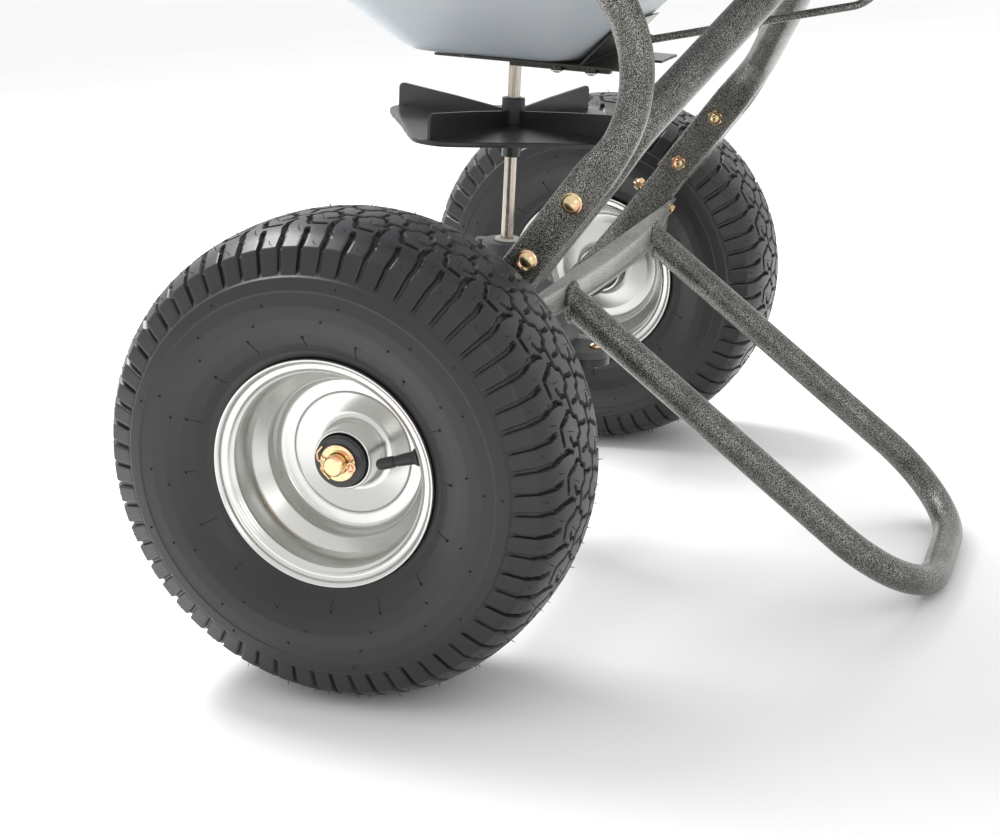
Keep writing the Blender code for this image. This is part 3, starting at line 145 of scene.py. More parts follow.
# Height, half width, front, rear and corner radius.
HOPPER_SECTIONS = mm(
    (265.5, 63, -83, 71, 30), (270, 72, -92, 79, 36), (330, 128, -170, 134, 62),
    (430, 197, -243, 208, 80), (446, 205, -250, 214, 84), (482, 210, -254, 219, 86),
    (488.5, 214, -258, 222, 88), (490.5, 258, -303, 245, 90), (502, 266, -311, 253, 96),
    (670, 276, -322, 263, 104), (676, 287, -333, 274, 112), (688, 289, -335, 276, 114),
)
HOPPER_WALL = 0.004
RIM_ROLL = 0.003
BASE_LOW_Z = 0.2628
PORT_X = 0.031
PORT_Y = -0.012
PORT_RADIUS = 0.0125

ROD_RADIUS = 0.0033
ROD_PIN = Vector((0, 0.112, 0.2815))
ROD_BEND = Vector((0, 0.297, 0.3265))
LEVER_PIVOT = COLUMN_FOOT + ALONG_COLUMN * 0.46
LEVER_ARM = 0.059
LEVER_ARM_ANGLE = radians(-11)
LEVER_PIN = LEVER_PIVOT + LEVER_ARM * (
    BEHIND_COLUMN * cos(LEVER_ARM_ANGLE) + ALONG_COLUMN * sin(LEVER_ARM_ANGLE)
)
LEVER_PLATE_X = 0.0065
LEVER_LENGTH = 0.132
LEVER_REST = radians(12)
QUADRANT_X = 0.0145
STOP_RADIUS = 0.048
STOP_ANGLE = radians(30)


# ------------------------------------------------------------------- helpers


def mesh_of(verts, faces, sharp=32):
    """A mesh with its doubles merged, its faces outward and its edges sharp past an angle."""
    mesh = bpy.data.meshes.new("piece")
    mesh.from_pydata([tuple(v) for v in verts], [], faces)
    work = bmesh.new()
    work.from_mesh(mesh)
    bmesh.ops.remove_doubles(work, verts=work.verts, dist=0.00001)
    bmesh.ops.recalc_face_normals(work, faces=work.faces)
    work.to_mesh(mesh)
    work.free()
    smooth(mesh, sharp)
    return mesh


def smooth(mesh, sharp):
    """Shades the mesh smooth, but for edges sharper than an angle in degrees."""
    mesh.shade_smooth()
    mesh.set_sharp_from_angle(angle=radians(sharp))


def grid_faces(rows, columns, wrap_rows=False, caps=False):
    """Quads between rings of points, with the first and last ring filled if there are caps."""
    i, j = np.meshgrid(np.arange(rows if wrap_rows else rows - 1), np.arange(columns), indexing="ij")
    row, after, beside = i * columns, (i + 1) % rows * columns, (j + 1) % columns
    quads = np.stack([row + j, row + beside, after + beside, after + j], -1).reshape(-1, 4).tolist()
    ends = [list(range(columns)), list(range((rows - 1) * columns, rows * columns))]
    return quads + (ends if caps else [])


def joined(meshes, sharp=32):
    """Several meshes as one."""
    work = bmesh.new()
    for mesh in meshes:
        work.from_mesh(mesh)
    made = bpy.data.meshes.new("piece")
    work.to_mesh(made)
    work.free()
    smooth(made, sharp)
    return made


def moved(mesh, matrix):
    """A moved copy of the mesh, still right side out if it is mirrored."""
    mesh = mesh.copy()
    mesh.transform(matrix)
    if matrix.determinant() < 0:
        mesh.flip_normals()
    return mesh


def at(x, y=0, z=0):
    return Matrix.Translation((x, y, z))


def facing(direction, axis="Z", up="X"):
    """Turns an axis of a piece toward a direction."""
    return direction.to_track_quat(axis, up).to_matrix().to_4x4()


def linked(name, data):
    made = bpy.data.objects.new(name, data)
    bpy.context.scene.collection.objects.link(made)
    return made


SIDES = (("left", Matrix()), ("right", Matrix.Scale(-1, 4, Vector((1, 0, 0)))))


def show(name, mesh, nodes=(), slot=None, body=None, bevel=None):
    """The mesh as a piece that stands for CAD nodes, in the first one's finish and on its body."""
    nodes = [nodes] if isinstance(nodes, str) else nodes
    slot = slot or SLOTS[nodes[0]]
    mesh = moved(mesh, MACHINE)
    mesh.materials.clear()
    mesh.materials.append(MATERIALS[slot])
    made = linked(name, mesh)
    if bevel:
        soften(made, bevel)
    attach(made, body or BODIES[nodes[0]])
    if nodes:
        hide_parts(*nodes)
    return made


def show_pairs(*pieces):
    """Shows each (piece's name, node's name, mesh) on the left, and mirrored on the right."""
    for label, mirror in SIDES:
        for name, node, mesh in pieces:
            show(name.format(label), moved(mesh, mirror), node.format(label))


def soften(obj, width):
    """Rounds the piece's sharp edges with a narrow bevel."""
    modifier = obj.modifiers.new("Softened edges", "BEVEL")
    modifier.width = width
    modifier.segments = 2
    modifier.limit_method = "ANGLE"
    modifier.angle_limit = radians(30)
    modifier.use_clamp_overlap = True
    modifier.harden_normals = True


def refined(node, bevel, cuts=()):
    """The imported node's own shape, with any hidden material cut away, soft edges and smooth shading."""
    source = frame["nodes"][node]
    mesh = source.data.copy()
    mesh.transform(source.matrix_world)
    work = bmesh.new()
    work.from_mesh(mesh)
    bmesh.ops.remove_doubles(work, verts=work.verts, dist=0.00002)
    bmesh.ops.dissolve_limit(work, angle_limit=radians(1.0), verts=work.verts, edges=work.edges)
    work.to_mesh(mesh)
    work.free()
    mesh.transform(MACHINE.inverted())
    mesh = combined(mesh, cuts, sharp=30)
    show(f"{node}_shown", mesh, node, bevel=bevel)


def baked(obj):
    """The object's mesh with its modifiers applied. The object itself is removed."""
    bpy.context.view_layer.update()
    graph = bpy.context.evaluated_depsgraph_get()
    mesh = bpy.data.meshes.new_from_object(obj.evaluated_get(graph))
    bpy.data.objects.remove(obj, do_unlink=True)
    return mesh


def combined(mesh, tools, operation="DIFFERENCE", sharp=32):
    """The mesh with each tool mesh cut from it, or joined to it."""
    for tool in tools:
        target, other = linked("target", mesh), linked("tool", tool)
        modifier = target.modifiers.new(operation.title(), "BOOLEAN")
        modifier.operation = operation
        modifier.object = other
        mesh = baked(target)
        bpy.data.objects.remove(other, do_unlink=True)
    smooth(mesh, sharp)
    return mesh


def rounded(points, radius, count=4, closed=False):
    """The points with each corner made an arc-like curve that starts radius away from it."""
    points = [np.array(p, float) for p in points]
    made = []
    for i, point in enumerate(points):
        if not closed and i in (0, len(points) - 1):
            made.append(point)
            continue
        before, after = points[i - 1] - point, points[(i + 1) % len(points)] - point
        into = before * min(0.45, radius / max(np.linalg.norm(before[:2]), 1e-9))
        out = after * min(0.45, radius / max(np.linalg.norm(after[:2]), 1e-9))
        for k in range(count + 1):
            t = k / count
            made.append(point + into * (1 - t) ** 2 + out * t**2)
    return made


def turned(profile, steps, axis="Z", closed=False, sharp=40):
    """A profile of (radius, height) turned round an axis."""
    verts = [(r * x, r * y, h) for r, h in profile for x, y in around(1, steps)]
    mesh = mesh_of(verts, grid_faces(len(profile), steps, wrap_rows=closed), sharp)
    if axis == "X":
        mesh.transform(Matrix.Rotation(pi / 2, 4, "Y"))
    return mesh


def washer(profile, edge, steps=64, axis="Z"):
    """A closed profile with rounded corners, turned round an axis that it doesn't touch."""
    return turned(rounded(profile, edge, 3, closed=True), steps, axis, closed=True)


def cylinder(start, end, radius, end_radius=None, sides=32):
    start, end = Vector(start), Vector(end)
    axis = end - start
    end_radius = radius if end_radius is None else end_radius
    mesh = turned([(0, 0), (radius, 0), (end_radius, axis.length), (0, axis.length)], sides, sharp=32)
    return moved(mesh, at(*start) @ facing(axis, up="Y"))


def box(low, high):
    low, high = Vector(low), Vector(high)
    work = bmesh.new()
    size = Matrix.Diagonal((*(high - low), 1))
    bmesh.ops.create_cube(work, size=1, matrix=Matrix.Translation((low + high) / 2) @ size)
    mesh = bpy.data.meshes.new("box")
    work.to_mesh(mesh)
    work.free()
    return mesh


def extruded(points, thickness, plane=Matrix()):
    """A flat outline of (x, y), thickness / 2 each way from its plane."""
    count = len(points)
    verts = [(x, y, -thickness / 2) for x, y in points] + [(x, y, thickness / 2) for x, y in points]
    return moved(mesh_of(verts, grid_faces(2, count, caps=True)), plane)


def arc(centre, radius, start, end, count):
    angles = [start + (end - start) * i / count for i in range(count + 1)]
    return [(centre[0] + radius * cos(a), centre[1] + radius * sin(a)) for a in angles]


def bent_path(corners, step=radians(3), longest=0.006):
    """Closely spaced points along a path of (point, bend radius), with each corner made an arc."""
    path = [corners[0][0]]
    for (before, _), (corner, radius), (after, _) in zip(corners, corners[1:], corners[2:]):
        back = (before - corner).normalized()
        on = (after - corner).normalized()
        turn = pi - back.angle(on)
        if turn < 0.01:
            path.append(corner)
            continue
        reach = radius * math.tan(turn / 2)
        centre = corner + (back + on).normalized() * math.hypot(radius, reach)
        start = corner + back * reach - centre
        side = (corner + on * reach - centre) - start * cos(turn)
        side = side.normalized() * radius
        count = max(2, round(turn / step))
        for i in range(count + 1):
            angle = turn * i / count
            path.append(centre + start * cos(angle) + side * sin(angle))
    path.append(corners[-1][0])
    fine = [path[0]]
    for a, b in zip(path, path[1:]):
        count = max(1, math.ceil((b - a).length / longest))
        fine += [a.lerp(b, (k + 1) / count) for k in range(count)]
    return fine


def swept(path, shape_at, sides, across=Vector((1, 0, 0)), closed=False, sharp=32):
    """A tube along the path. shape_at(distance from start, from end) gives its section's points."""
    lengths = [0.0]
    for a, b in zip(path, path[1:]):
        lengths.append(lengths[-1] + (b - a).length)
    verts = []
    for i, point in enumerate(path):
        ahead = path[(i + 1) % len(path)] - point if closed or i + 1 < len(path) else Vector()
        behind = point - path[i - 1] if closed or i else Vector()
        along = (ahead.normalized() + behind.normalized()).normalized()
        across = (across - along * across.dot(along)).normalized()
        up = along.cross(across)
        for u, v in shape_at(lengths[i], lengths[-1] - lengths[i])(sides):
            verts.append(point + across * u + up * v)
    return mesh_of(verts, grid_faces(len(path), sides, wrap_rows=closed, caps=not closed), sharp)


def around(radius, count):
    """Points evenly round a circle."""
    return arc((0, 0), radius, 0, 2 * pi, count)[:-1]


def circle(radius):
    return lambda sides: around(radius, sides)


def tube(path, radius, sides):
    return swept(path, lambda _, __: circle(radius), sides)


def crushed_section(amount, radius, thickness, width, groove=0.0, shift=0.0):
    """A tube's section between round (amount 0) and flat (1), grooved on its outer side."""

    def points(sides):
        made = []
        for j in range(sides):
            angle = 2 * pi * (j + 0.5) / sides
            c, s = cos(angle), sin(angle)
            flat_u = math.copysign(abs(c) ** 0.32, c) * thickness / 2 + shift
            flat_v = math.copysign(abs(s) ** 0.85, s) * width / 2
            if groove * c > 0:
                ridge = math.exp(-(((abs(flat_v) / (width / 2) - 0.80) / 0.16) ** 2))
                flat_u -= groove * (abs(c) ** 3 - 0.75 * ridge)
            u = radius * c * (1 - amount) + flat_u * amount
            v = radius * s * (1 - amount) + flat_v * amount
            made.append((u, v))
        return made

    return points


def both_sides(side):
    """A path of (point, bend radius) from the left, and back along its mirror image on the right."""
    return side + [(Vector((-p.x, p.y, p.z)), r) for p, r in reversed(side)]


def polar(radius, angle, x):
    """A point at a radius and an angle round the X axis."""
    return Vector((x, radius * cos(angle), radius * sin(angle)))


def eased(value, low, high):
    """0 up to low, 1 from high, and smooth between."""
    t = min(max((value - low) / (high - low), 0), 1)
    return t * t * (3 - 2 * t)


def on_side(x, s):
    """A point at s along the side joint's line from its lower bolt."""
    point = LOWER_BOLT + ALONG_SIDE * s
    return Vector((x, point.y, point.z))


class Nodes:
    """Builds a material's node tree with short calls."""

    def __init__(self, name):
        self.material = bpy.data.materials.new(name)
        self.material.use_nodes = True
        self.tree = self.material.node_tree
        self.shader = self.tree.nodes["Principled BSDF"]
        self.coordinates = self.tree.nodes.new("ShaderNodeTexCoord").outputs["Object"]

    def put(self, socket, value):
        """Links a socket to another one's output, or sets its value."""
        if isinstance(value, bpy.types.NodeSocket):
            self.tree.links.new(value, socket)
        else:
            socket.default_value = (*value, 1) if socket.type == "RGBA" else value

    def node(self, kind, **inputs):
        made = self.tree.nodes.new(f"ShaderNode{kind}")
        for key, value in inputs.items():
            self.put(made.inputs[key], value)
        return made

    def noise(self, scale, detail=2.0, roughness=0.5, vector=None, distortion=0.0):
        return self.node("TexNoise", Scale=scale, Detail=detail, Roughness=roughness, Distortion=distortion,
                         Vector=vector or self.coordinates).outputs["Fac"]

    def cells(self, scale):
        """How far each place is from the nearest of many scattered points."""
        made = self.node("TexVoronoi", Scale=scale, Vector=self.coordinates)
        made.feature = "SMOOTH_F1"
        return made.outputs["Distance"]

    def stretched(self, scale):
        return self.node("Mapping", Vector=self.coordinates, Scale=scale).outputs["Vector"]

    def ramp(self, value, *stops):
        """Each stop is a position with a grey level or a colour."""
        made = self.node("ValToRGB", Fac=value)
        elements = made.color_ramp.elements
        while len(elements) < len(stops):
            elements.new(0.5)
        for element, (position, colour) in zip(elements, stops):
            element.position = position
            element.color = (*(colour if isinstance(colour, tuple) else (colour,) * 3), 1)
        return made.outputs["Color"]

    def mix(self, value, low, high, a, b, most=1.0):
        """Colour a where the value is under low, and b, or most of it, where it is over high."""
        made = self.tree.nodes.new("ShaderNodeMix")
        made.data_type = "RGBA"
        self.put(made.inputs[0], self.ramp(value, (low, 0.0), (high, most)))
        for socket, colour in zip([s for s in made.inputs if s.type == "RGBA"], (a, b)):
            self.put(socket, colour)
        return next(s for s in made.outputs if s.type == "RGBA")

    def math(self, operation, *values):
        made = self.tree.nodes.new("ShaderNodeMath")
        made.operation = operation
        for socket, value in zip(made.inputs, values):
            self.put(socket, value)
        return made.outputs[0]

    def weighed(self, a, share_a, b, share_b):
        return self.math("ADD", self.math("MULTIPLY", a, share_a), self.math("MULTIPLY", b, share_b))

    def bump(self, height, strength, distance):
        return self.node("Bump", Strength=strength, Distance=distance, Height=height).outputs["Normal"]

    def finish(self, colour, roughness, normal=None, **inputs):
        """The material, once its shader's main inputs and any others are set."""
        inputs.update(Base_Color=colour, Roughness=roughness)
        if normal:
            inputs["Normal"] = normal
        for key, value in inputs.items():
            self.put(self.shader.inputs[key.replace("_", " ")], value)
        return self.material


# ----------------------------------------------------------------- materials


def hammertone(name, dark, silver, cover):
    """Hammered paint: fine silver flake between small black pits, under a clear gloss."""
    n = Nodes(name)
    mixed = n.weighed(n.cells(1500.0), 0.5, n.noise(1550.0, 2.0, 0.6), 0.95)
    flake = n.ramp(mixed, (cover - 0.09, dark), (cover + 0.13, silver))
    colour = n.mix(n.noise(45.0, 3.0), 0.38, 0.75, flake, dark, most=0.45)
    rough = n.ramp(mixed, (cover - 0.1, 0.26), (cover + 0.1, 0.42))
    return n.finish(colour, rough, n.bump(mixed, 0.30, 0.0005), Metallic=0.60, Coat_Weight=0.22,
                    Coat_Roughness=0.18)


def rubber_tyre():
    """Black rubber with a greyish bloom, duller where it has been handled."""
    n = Nodes("tyre_rubber")
    cloud = n.noise(14.0, 4.0, 0.6)
    colour = n.mix(cloud, 0.3, 0.8, (0.008, 0.008, 0.009), (0.015, 0.015, 0.016))
    grain = n.bump(n.noise(420.0, 3.0, 0.6), 0.10, 0.0004)
    return n.finish(colour, n.ramp(cloud, (0.25, 0.34), (0.8, 0.50)), grain, Specular_IOR_Level=0.50,
                    Sheen_Weight=0.05, Sheen_Roughness=0.5)


def zinc(name, tint, rough, blotch=0.035):
    """Bright zinc plate with a faint cloudy passivation and spinning lines."""
    n = Nodes(name)
    cloud = n.noise(14.0, 3.0, 0.5, distortion=0.4)
    lines = n.noise(90.0, 3.0, 0.6, n.stretched((1.0, 0.12, 0.12)))
    colour = n.mix(cloud, 0.35, 0.72, tint, tuple(c * (1 - blotch * 2) for c in tint))
    roughness = n.ramp(n.weighed(cloud, 0.6, lines, 0.4), (0.3, rough - 0.04), (0.7, rough + 0.05))
    return n.finish(colour, roughness, n.bump(lines, 0.035, 0.0003), Metallic=1.0)


def yellow_zinc():
    """Yellow passivated zinc: pale gold with green and rose bands."""
    n = Nodes("yellow_zinc_plate")
    cloud = n.noise(70.0, 2.0, 0.5, distortion=1.4)
    rose, gold, green, copper = (0.80, 0.42, 0.28), (0.84, 0.60, 0.36), (0.62, 0.56, 0.30), (0.84, 0.40, 0.30)
    tint = n.ramp(cloud, (0.30, rose), (0.44, gold), (0.56, green), (0.70, copper))
    rough = n.ramp(cloud, (0.3, 0.18), (0.7, 0.28))
    return n.finish(tint, rough, n.bump(n.noise(700.0), 0.05, 0.0003), Metallic=1.0)


def steel():
    """A drawn bar, with fine lines along it."""
    n = Nodes("bright_steel")
    lines = n.noise(60.0, 3.0, 0.6, n.stretched((30.0, 30.0, 1.0)))
    colour = n.mix(lines, 0.3, 0.75, (0.56, 0.50, 0.43), (0.38, 0.34, 0.29))
    rough = n.ramp(lines, (0.3, 0.20), (0.7, 0.32))
    return n.finish(colour, rough, n.bump(lines, 0.08, 0.0003), Metallic=1.0)


def plastic(name, colour, rough, texture):
    """A moulded or cast surface with a fine grain."""
    n = Nodes(name)
    cloud = n.noise(20.0, 3.0)
    tint = n.mix(cloud, 0.3, 0.8, colour, tuple(c * 1.22 + 0.003 for c in colour))
    roughness = n.ramp(cloud, (0.3, rough - 0.06), (0.8, rough + 0.06))
    return n.finish(tint, roughness, n.bump(n.noise(520.0, 2.0, 0.6), texture, 0.0004))


def hopper_plastic():
    """Rotomoulded polyethylene, faintly translucent and orange-peeled."""
    n = Nodes("hopper_polyethylene")
    peel = n.noise(150.0, 3.0, 0.55)
    tint = n.mix(n.noise(5.0, 3.0), 0.3, 0.8, (0.38, 0.42, 0.45), (0.44, 0.48, 0.51))
    return n.finish(tint, n.ramp(peel, (0.3, 0.36), (0.75, 0.48)), n.bump(peel, 0.08, 0.0008),
                    Subsurface_Weight=0.12, Subsurface_Scale=0.012)


MATERIALS = {
    "frame_paint": hammertone("hammertone_black", (0.013, 0.013, 0.011), (0.45, 0.44, 0.40), 0.735),
    "brace_paint": hammertone("hammertone_grey", (0.21, 0.21, 0.20), (0.52, 0.52, 0.50), 0.68),
    "zinc": zinc("bright_zinc", (0.64, 0.64, 0.62), 0.23),
    "yellow_zinc": yellow_zinc(),
    "steel": steel(),
    "tyre": rubber_tyre(),
    "rubber": plastic("moulded_rubber", (0.010, 0.010, 0.010), 0.45, 0.15),
    "hopper_plastic": hopper_plastic(),
    "black_plastic": plastic("black_nylon", (0.018, 0.018, 0.020), 0.33, 0.05),
    "gearbox_grey": plastic("gearbox_cast", (0.050, 0.052, 0.056), 0.42, 0.20),
    "bushing_plastic": plastic("natural_nylon", (0.66, 0.64, 0.58), 0.45, 0.08),
    "gear_metal": zinc("sintered_steel", (0.34, 0.34, 0.35), 0.42, 0.10),
    "black_plate": hammertone("olive_black_plate", (0.016, 0.018, 0.014), (0.075, 0.080, 0.066), 0.74),
}


# --------------------------------------------------------------------- tyres

LUG_PAIRS = 32              # round the tread
PAIR = 36.1                 # length of a pair along the tread's centre line, in mm
COLUMNS = 34                # of the tread's mesh, per pair
TREAD_STEP = 0.00105        # between the mesh's rows
GROOVE_DEPTH = 0.0036
SPEW_LENGTH = 0.0034
# Each of a pair's rubber hairs: how far through the pair it grows, and its radius and X in mm.
SPEWS = (
    (0.26, 171.6, 58), (0.76, 171.6, -58), (0.45, 182.9, 24),
    (0.93, 182.9, -24), (0.75, 179, 44), (0.25, 179, -44),
)
MARK_LINES = 16             # by the bead of each sidewall
# Rings of dots on a sidewall: how many, their radius and X, and how far the first is turned.
DOT_RINGS = ((14, 0.1315, 0.0735, 0.2), (14, 0.1190, 0.0722, 0.42), (9, 0.1448, 0.0724, 0.1))
CROWN = mm((184, 0), (183.8, 12), (182.8, 26), (180.4, 40), (176.6, 51), (169.6, 61.8))
SHOULDER_FACE = mm((169.6, 61.8), (152, 69.2), (148, 69.5))
SIDEWALL = mm(
    (160, 60), (153.5, 66.5), (150.4, 70), (149.4, 71.4), (148, 71.7), (140.4, 73.4), (139.8, 72.7),
    (130, 73.6), (120, 72.5), (110, 69), (100, 62.5), (93, 56.5), (89, 54.8), (87.8, 54.5), (87.2, 52),
)
LINER = mm(
    (81.2, 49), (77.5, 34), (86, 33), (100, 44), (130, 60), (156, 50), (169, 25), (171, 1), (174, 1),
    (173, 30), (168, 48),
)
# One half of a pair's grooves, in mm: points along the tread and outward from its centre line, and a width.
GROOVES = (
    (((0, 90), (0, 54), (1.2, 47), (3.4, 41), (3.8, 31)), 3.9),
    (((18, 90), (18, 54), (18.6, 49), (20.2, 44)), 3.7),
    (((9.6, 35.6), (21.2, 35.6), (24.2, 32), (26.0, 25.5), (29.6, 20.5)), 3.1),
    (((3.8, 31), (1.2, 25.0)), 2.4),
    (((-4.0, 13.2), (7.6, 13.2), (10.8, 7.0), (21.5, 7.0), (25.0, 13.2), (40.1, 13.2)), 2.9),
    (((4.2, 13.2), (5.6, 22.5), (11.5, 25.0)), 2.7),
    (((29.6, 20.5), (28.4, 13.2)), 2.4),
    (((16.0, 7.0), (14.6, -7.0)), 2.7),
)


def resampled(profile, step):
    """Points every step along a (radius, half width) profile, and how far along it each one is."""
    profile = np.array(profile)
    lengths = np.concatenate([[0], np.cumsum(np.linalg.norm(np.diff(profile, axis=0), axis=1))])
    along = np.linspace(0, lengths[-1], round(lengths[-1] / step) + 1)
    return np.stack([np.interp(along, lengths, profile[:, k]) for k in (0, 1)], 1), along


def groove_depth(along, across):
    """How deep the tread is cut, 0 to 1, at places in mm. The pattern repeats along the tread."""
    depth = np.zeros_like(along)
    for points, width in GROOVES:
        for shift in (-PAIR, 0, PAIR):
            for a, b in zip(points, points[1:]):
                ax, ay = a[0] + shift, a[1]
                bx, by = b[0] + shift - ax, b[1] - ay
                t = np.clip(((along - ax) * bx + (across - ay) * by) / (bx * bx + by * by), 0, 1)
                away = np.hypot(along - ax - t * bx, across - ay - t * by)
                depth = np.maximum(depth, np.clip((width / 2 - away) / 0.9 + 0.5, 0, 1))
    return depth * depth * (3 - 2 * depth)


def tread_half(side):
    """The lugged band from its centre line to one shoulder's side face."""
    crown, crown_at = resampled(rounded(CROWN, 0.006), TREAD_STEP)
    face, face_at = resampled(SHOULDER_FACE, 0.0018)
    half = np.concatenate([crown, face[1:]])
    across = 1000 * np.concatenate([crown_at, crown_at[-1] + face_at[1:]])
    # Grooves run out down the shoulder's face.
    fade = np.concatenate([np.ones(len(crown)), np.clip((face_at[-1] - face_at[1:]) / 0.006, 0, 1) * 0.75])
    tangent = np.gradient(half, axis=0)
    tangent /= np.linalg.norm(tangent, axis=1)[:, None]
    normal = np.stack([tangent[:, 1], -tangent[:, 0]], 1)
    columns = LUG_PAIRS * COLUMNS
    angle = 2 * pi * np.arange(columns) / columns
    # The other half carries the same grooves, mirrored and half a pair on.
    own = np.arange(COLUMNS) * PAIR / COLUMNS + (0 if side > 0 else PAIR / 2)
    a, w = np.meshgrid(own % PAIR, across)
    cut = np.maximum(groove_depth(a, w), groove_depth((a + PAIR / 2) % PAIR, -w))
    depth = np.tile(cut, LUG_PAIRS) * fade[:, None] * GROOVE_DEPTH
    radius = half[:, :1] - normal[:, :1] * depth
    width = half[:, 1:] - normal[:, 1:] * depth
    points = np.stack([side * width, radius * np.cos(angle), radius * np.sin(angle)], -1)
    mesh = bpy.data.meshes.new("tread")
    faces = grid_faces(len(points), columns)
    if side < 0:
        faces = [face[::-1] for face in faces]
    mesh.from_pydata(points.reshape(-1, 3).tolist(), [], faces)
    first = mesh.polygons[0]
    if first.normal.yz.dot(first.center.yz) < 0:
        mesh.flip_normals()
    smooth(mesh, 38)
    return mesh


def spews():
    """The rubber hairs that the mould's vents leave, each leaning its own way."""
    made = []
    for pair in range(LUG_PAIRS):
        for turn, radius, x in SPEWS:
            a = 2 * pi * (pair + turn) / LUG_PAIRS
            lean = 0.5 * sin(7.3 * pair + 11 * turn)
            place = polar(radius / 1000, a, x / 1000)
            out = polar(1, a + lean, 0.006 * x).normalized()
            made.append(cylinder(place - out * 0.001, place + out * SPEW_LENGTH, 0.00045, 0.00018, sides=5))
    return made


def sidewall_marks(side):
    """Mould marks on one sidewall: rings of vent dots, and short radial lines by the bead."""

    def dot(foot, depth, height):
        across = Vector((side, 0, 0))
        return cylinder(foot - across * depth, foot + across * height, 0.0011, 0.0006, sides=10)

    made = []
    for count, radius, x, phase in DOT_RINGS:
        for k in range(count):
            made.append(dot(polar(radius, 2 * pi * (k + phase) / count, side * x), 0.001, 0.0014))
    wall_radius, wall_x = np.array(SIDEWALL[11:7:-1]).T
    for k in range(MARK_LINES):
        a = 2 * pi * (k + 0.3) / MARK_LINES
        low = 0.0960 + 0.0015 * (k % 3)
        high = low + 0.0075 + 0.003 * (k % 2)
        points = [polar(r, a, side * np.interp(r, wall_radius, wall_x)) for r in np.linspace(low, high, 5)]
        made.append(tube(points, 0.00055, 8))
        made.append(dot(points[-1], 0, 0.0016))
    return made


def carcass():
    """The tyre's body: shaped sidewalls, beads, and the layers under the tread and inside."""
    outside = rounded(SIDEWALL, 0.0012, 3)
    inside = rounded(LINER, 0.004, 3)
    half = [(r, x) for r, x in outside + inside]
    return turned(half + [(r, -x) for r, x in half[::-1]], 224, "X", closed=True, sharp=50)


def tyres():
    """Both tyres: a carcass that stands for the CAD tyre, with its tread and marks riding along."""
    body = carcass()
    marks = joined(spews() + sidewall_marks(1) + sidewall_marks(-1))
    details = (("tread_outer", tread_half(1)), ("tread_inner", tread_half(-1)), ("marks", marks))
    for label, mirror in SIDES:
        place, node = mirror @ at(WHEEL_X), f"tyre_{label}"
        show(f"tyre_carcass_{label}", moved(body, place), node)
        for name, mesh in details:
            show(f"tyre_{name}_{label}", moved(mesh, place), slot="tyre", body=BODIES[node])


# -------------------------------------------------------------------- wheels

RIM_OUTSIDE = mm((87.6, 56), (86.8, 53), (80.5, 50.5), (76.5, 45.5), (76.5, 30), (63.5, 15), (60.5, 6))
RIM_INSIDE = mm(
    (87, 58.2), (85.8, 58), (83.8, 56.2), (83.2, 54), (81.2, 53.2), (79, 53), (77.2, 50.6), (74.8, 49.2),
    (74.2, 47), (74.2, 31), (72, 26.8), (62.5, 17.2), (61.2, 14), (60, 7.5), (58.4, 4.6), (56.7, 3.5),
)
DISC_FRONT = mm((48.2, 3.1), (47, 1.2), (30, -3), (26.2, -2.2), (24.6, 3), (23.6, 18), (22.9, 20.8))


def rim():
    """A pressed rim with stepped flanges, a flat ring round a dished disc, and a raised collar."""
    far_side = [(r, -h) for r, h in RIM_OUTSIDE[::-1]] + [(r, -h) for r, h in RIM_INSIDE[:15]]
    back = mm((56, -1), (47.5, -1.5), (30, -5.5), (24.5, -8), (23.8, -25))
    collar = mm((20.4, -25), (20.4, 21), (22, 21.4))
    loop = RIM_OUTSIDE + far_side + back + collar + DISC_FRONT[::-1] + RIM_INSIDE[::-1]
    return turned(rounded(loop, 0.0013, 4, closed=True), 180, "X", closed=True, sharp=60)


def hub_bushing():
    """A nylon sleeve through the hub, round the axle."""
    profile = mm((19.2, 27.2), (19.9, 26.4), (19.9, -64), (8.3, -64), (8.3, 27.2))
    return washer(profile, 0.0008, 96, "X")


def ring(outer, low, high):
    """A plain ring round the axle."""
    bore = AXLE_RADIUS + 0.0004
    return washer([(outer, high), (outer, low), (bore, low), (bore, high)], 0.0004, 72, "X")


def cotter_pin():
    """A split pin through the axle's end: an eye at the back, and two legs bent apart in front."""
    turns = np.radians(np.arange(-150, 151, 12))
    eye = [Vector((0, 0.0125 + 0.0031 * cos(a), 0.003565 * sin(a))) for a in turns]
    pieces = [tube(eye, 0.0009, 14)]
    bends = (0, 0.0016, 0.003, 0.003, 0), (0, 0.0016, 0.002, 0.002, 0)
    upper = mm((0, 10.5, 0.6), (0, -10, 0.6), (-0.4, -14.5, 1.5), (-2.2, -16, 6.5), (-3, -12, 11.8))
    lower = mm((0, 10.5, -0.6), (0, -10, -0.6), (-1, -12, -5), (-3, -10.8, -8.5), (-3.5, -6, -13))
    for leg, radii in zip((upper, lower), bends):
        path = bent_path([(Vector(p), r) for p, r in zip(leg, radii)], radians(12), 0.002)
        pieces.append(tube(path, 0.00085, 12))
    return joined(pieces, 60)


def valve_stem():
    """A moulded valve with a ribbed cap."""
    profile = mm(
        (0, 36), (2.6, 35.8), (4, 34.4), (4.3, 32.4), (4.3, 22.2), (4, 21.2), (3.3, 21), (3.3, 20),
        (4.1, 19.6), (4.4, 15), (5, 5.5), (7, 2.8), (7.2, 0.2), (0, 0),
    )
    pieces = [turned(rounded(profile, 0.0007, 3), 48)]
    for x, y in around(0.00425, CAP_RIBS):
        foot = Vector((x, y, 0.0235))
        pieces.append(cylinder(foot, foot + Vector((0, 0, 0.0085)), 0.0003, sides=6))
    return joined(pieces)


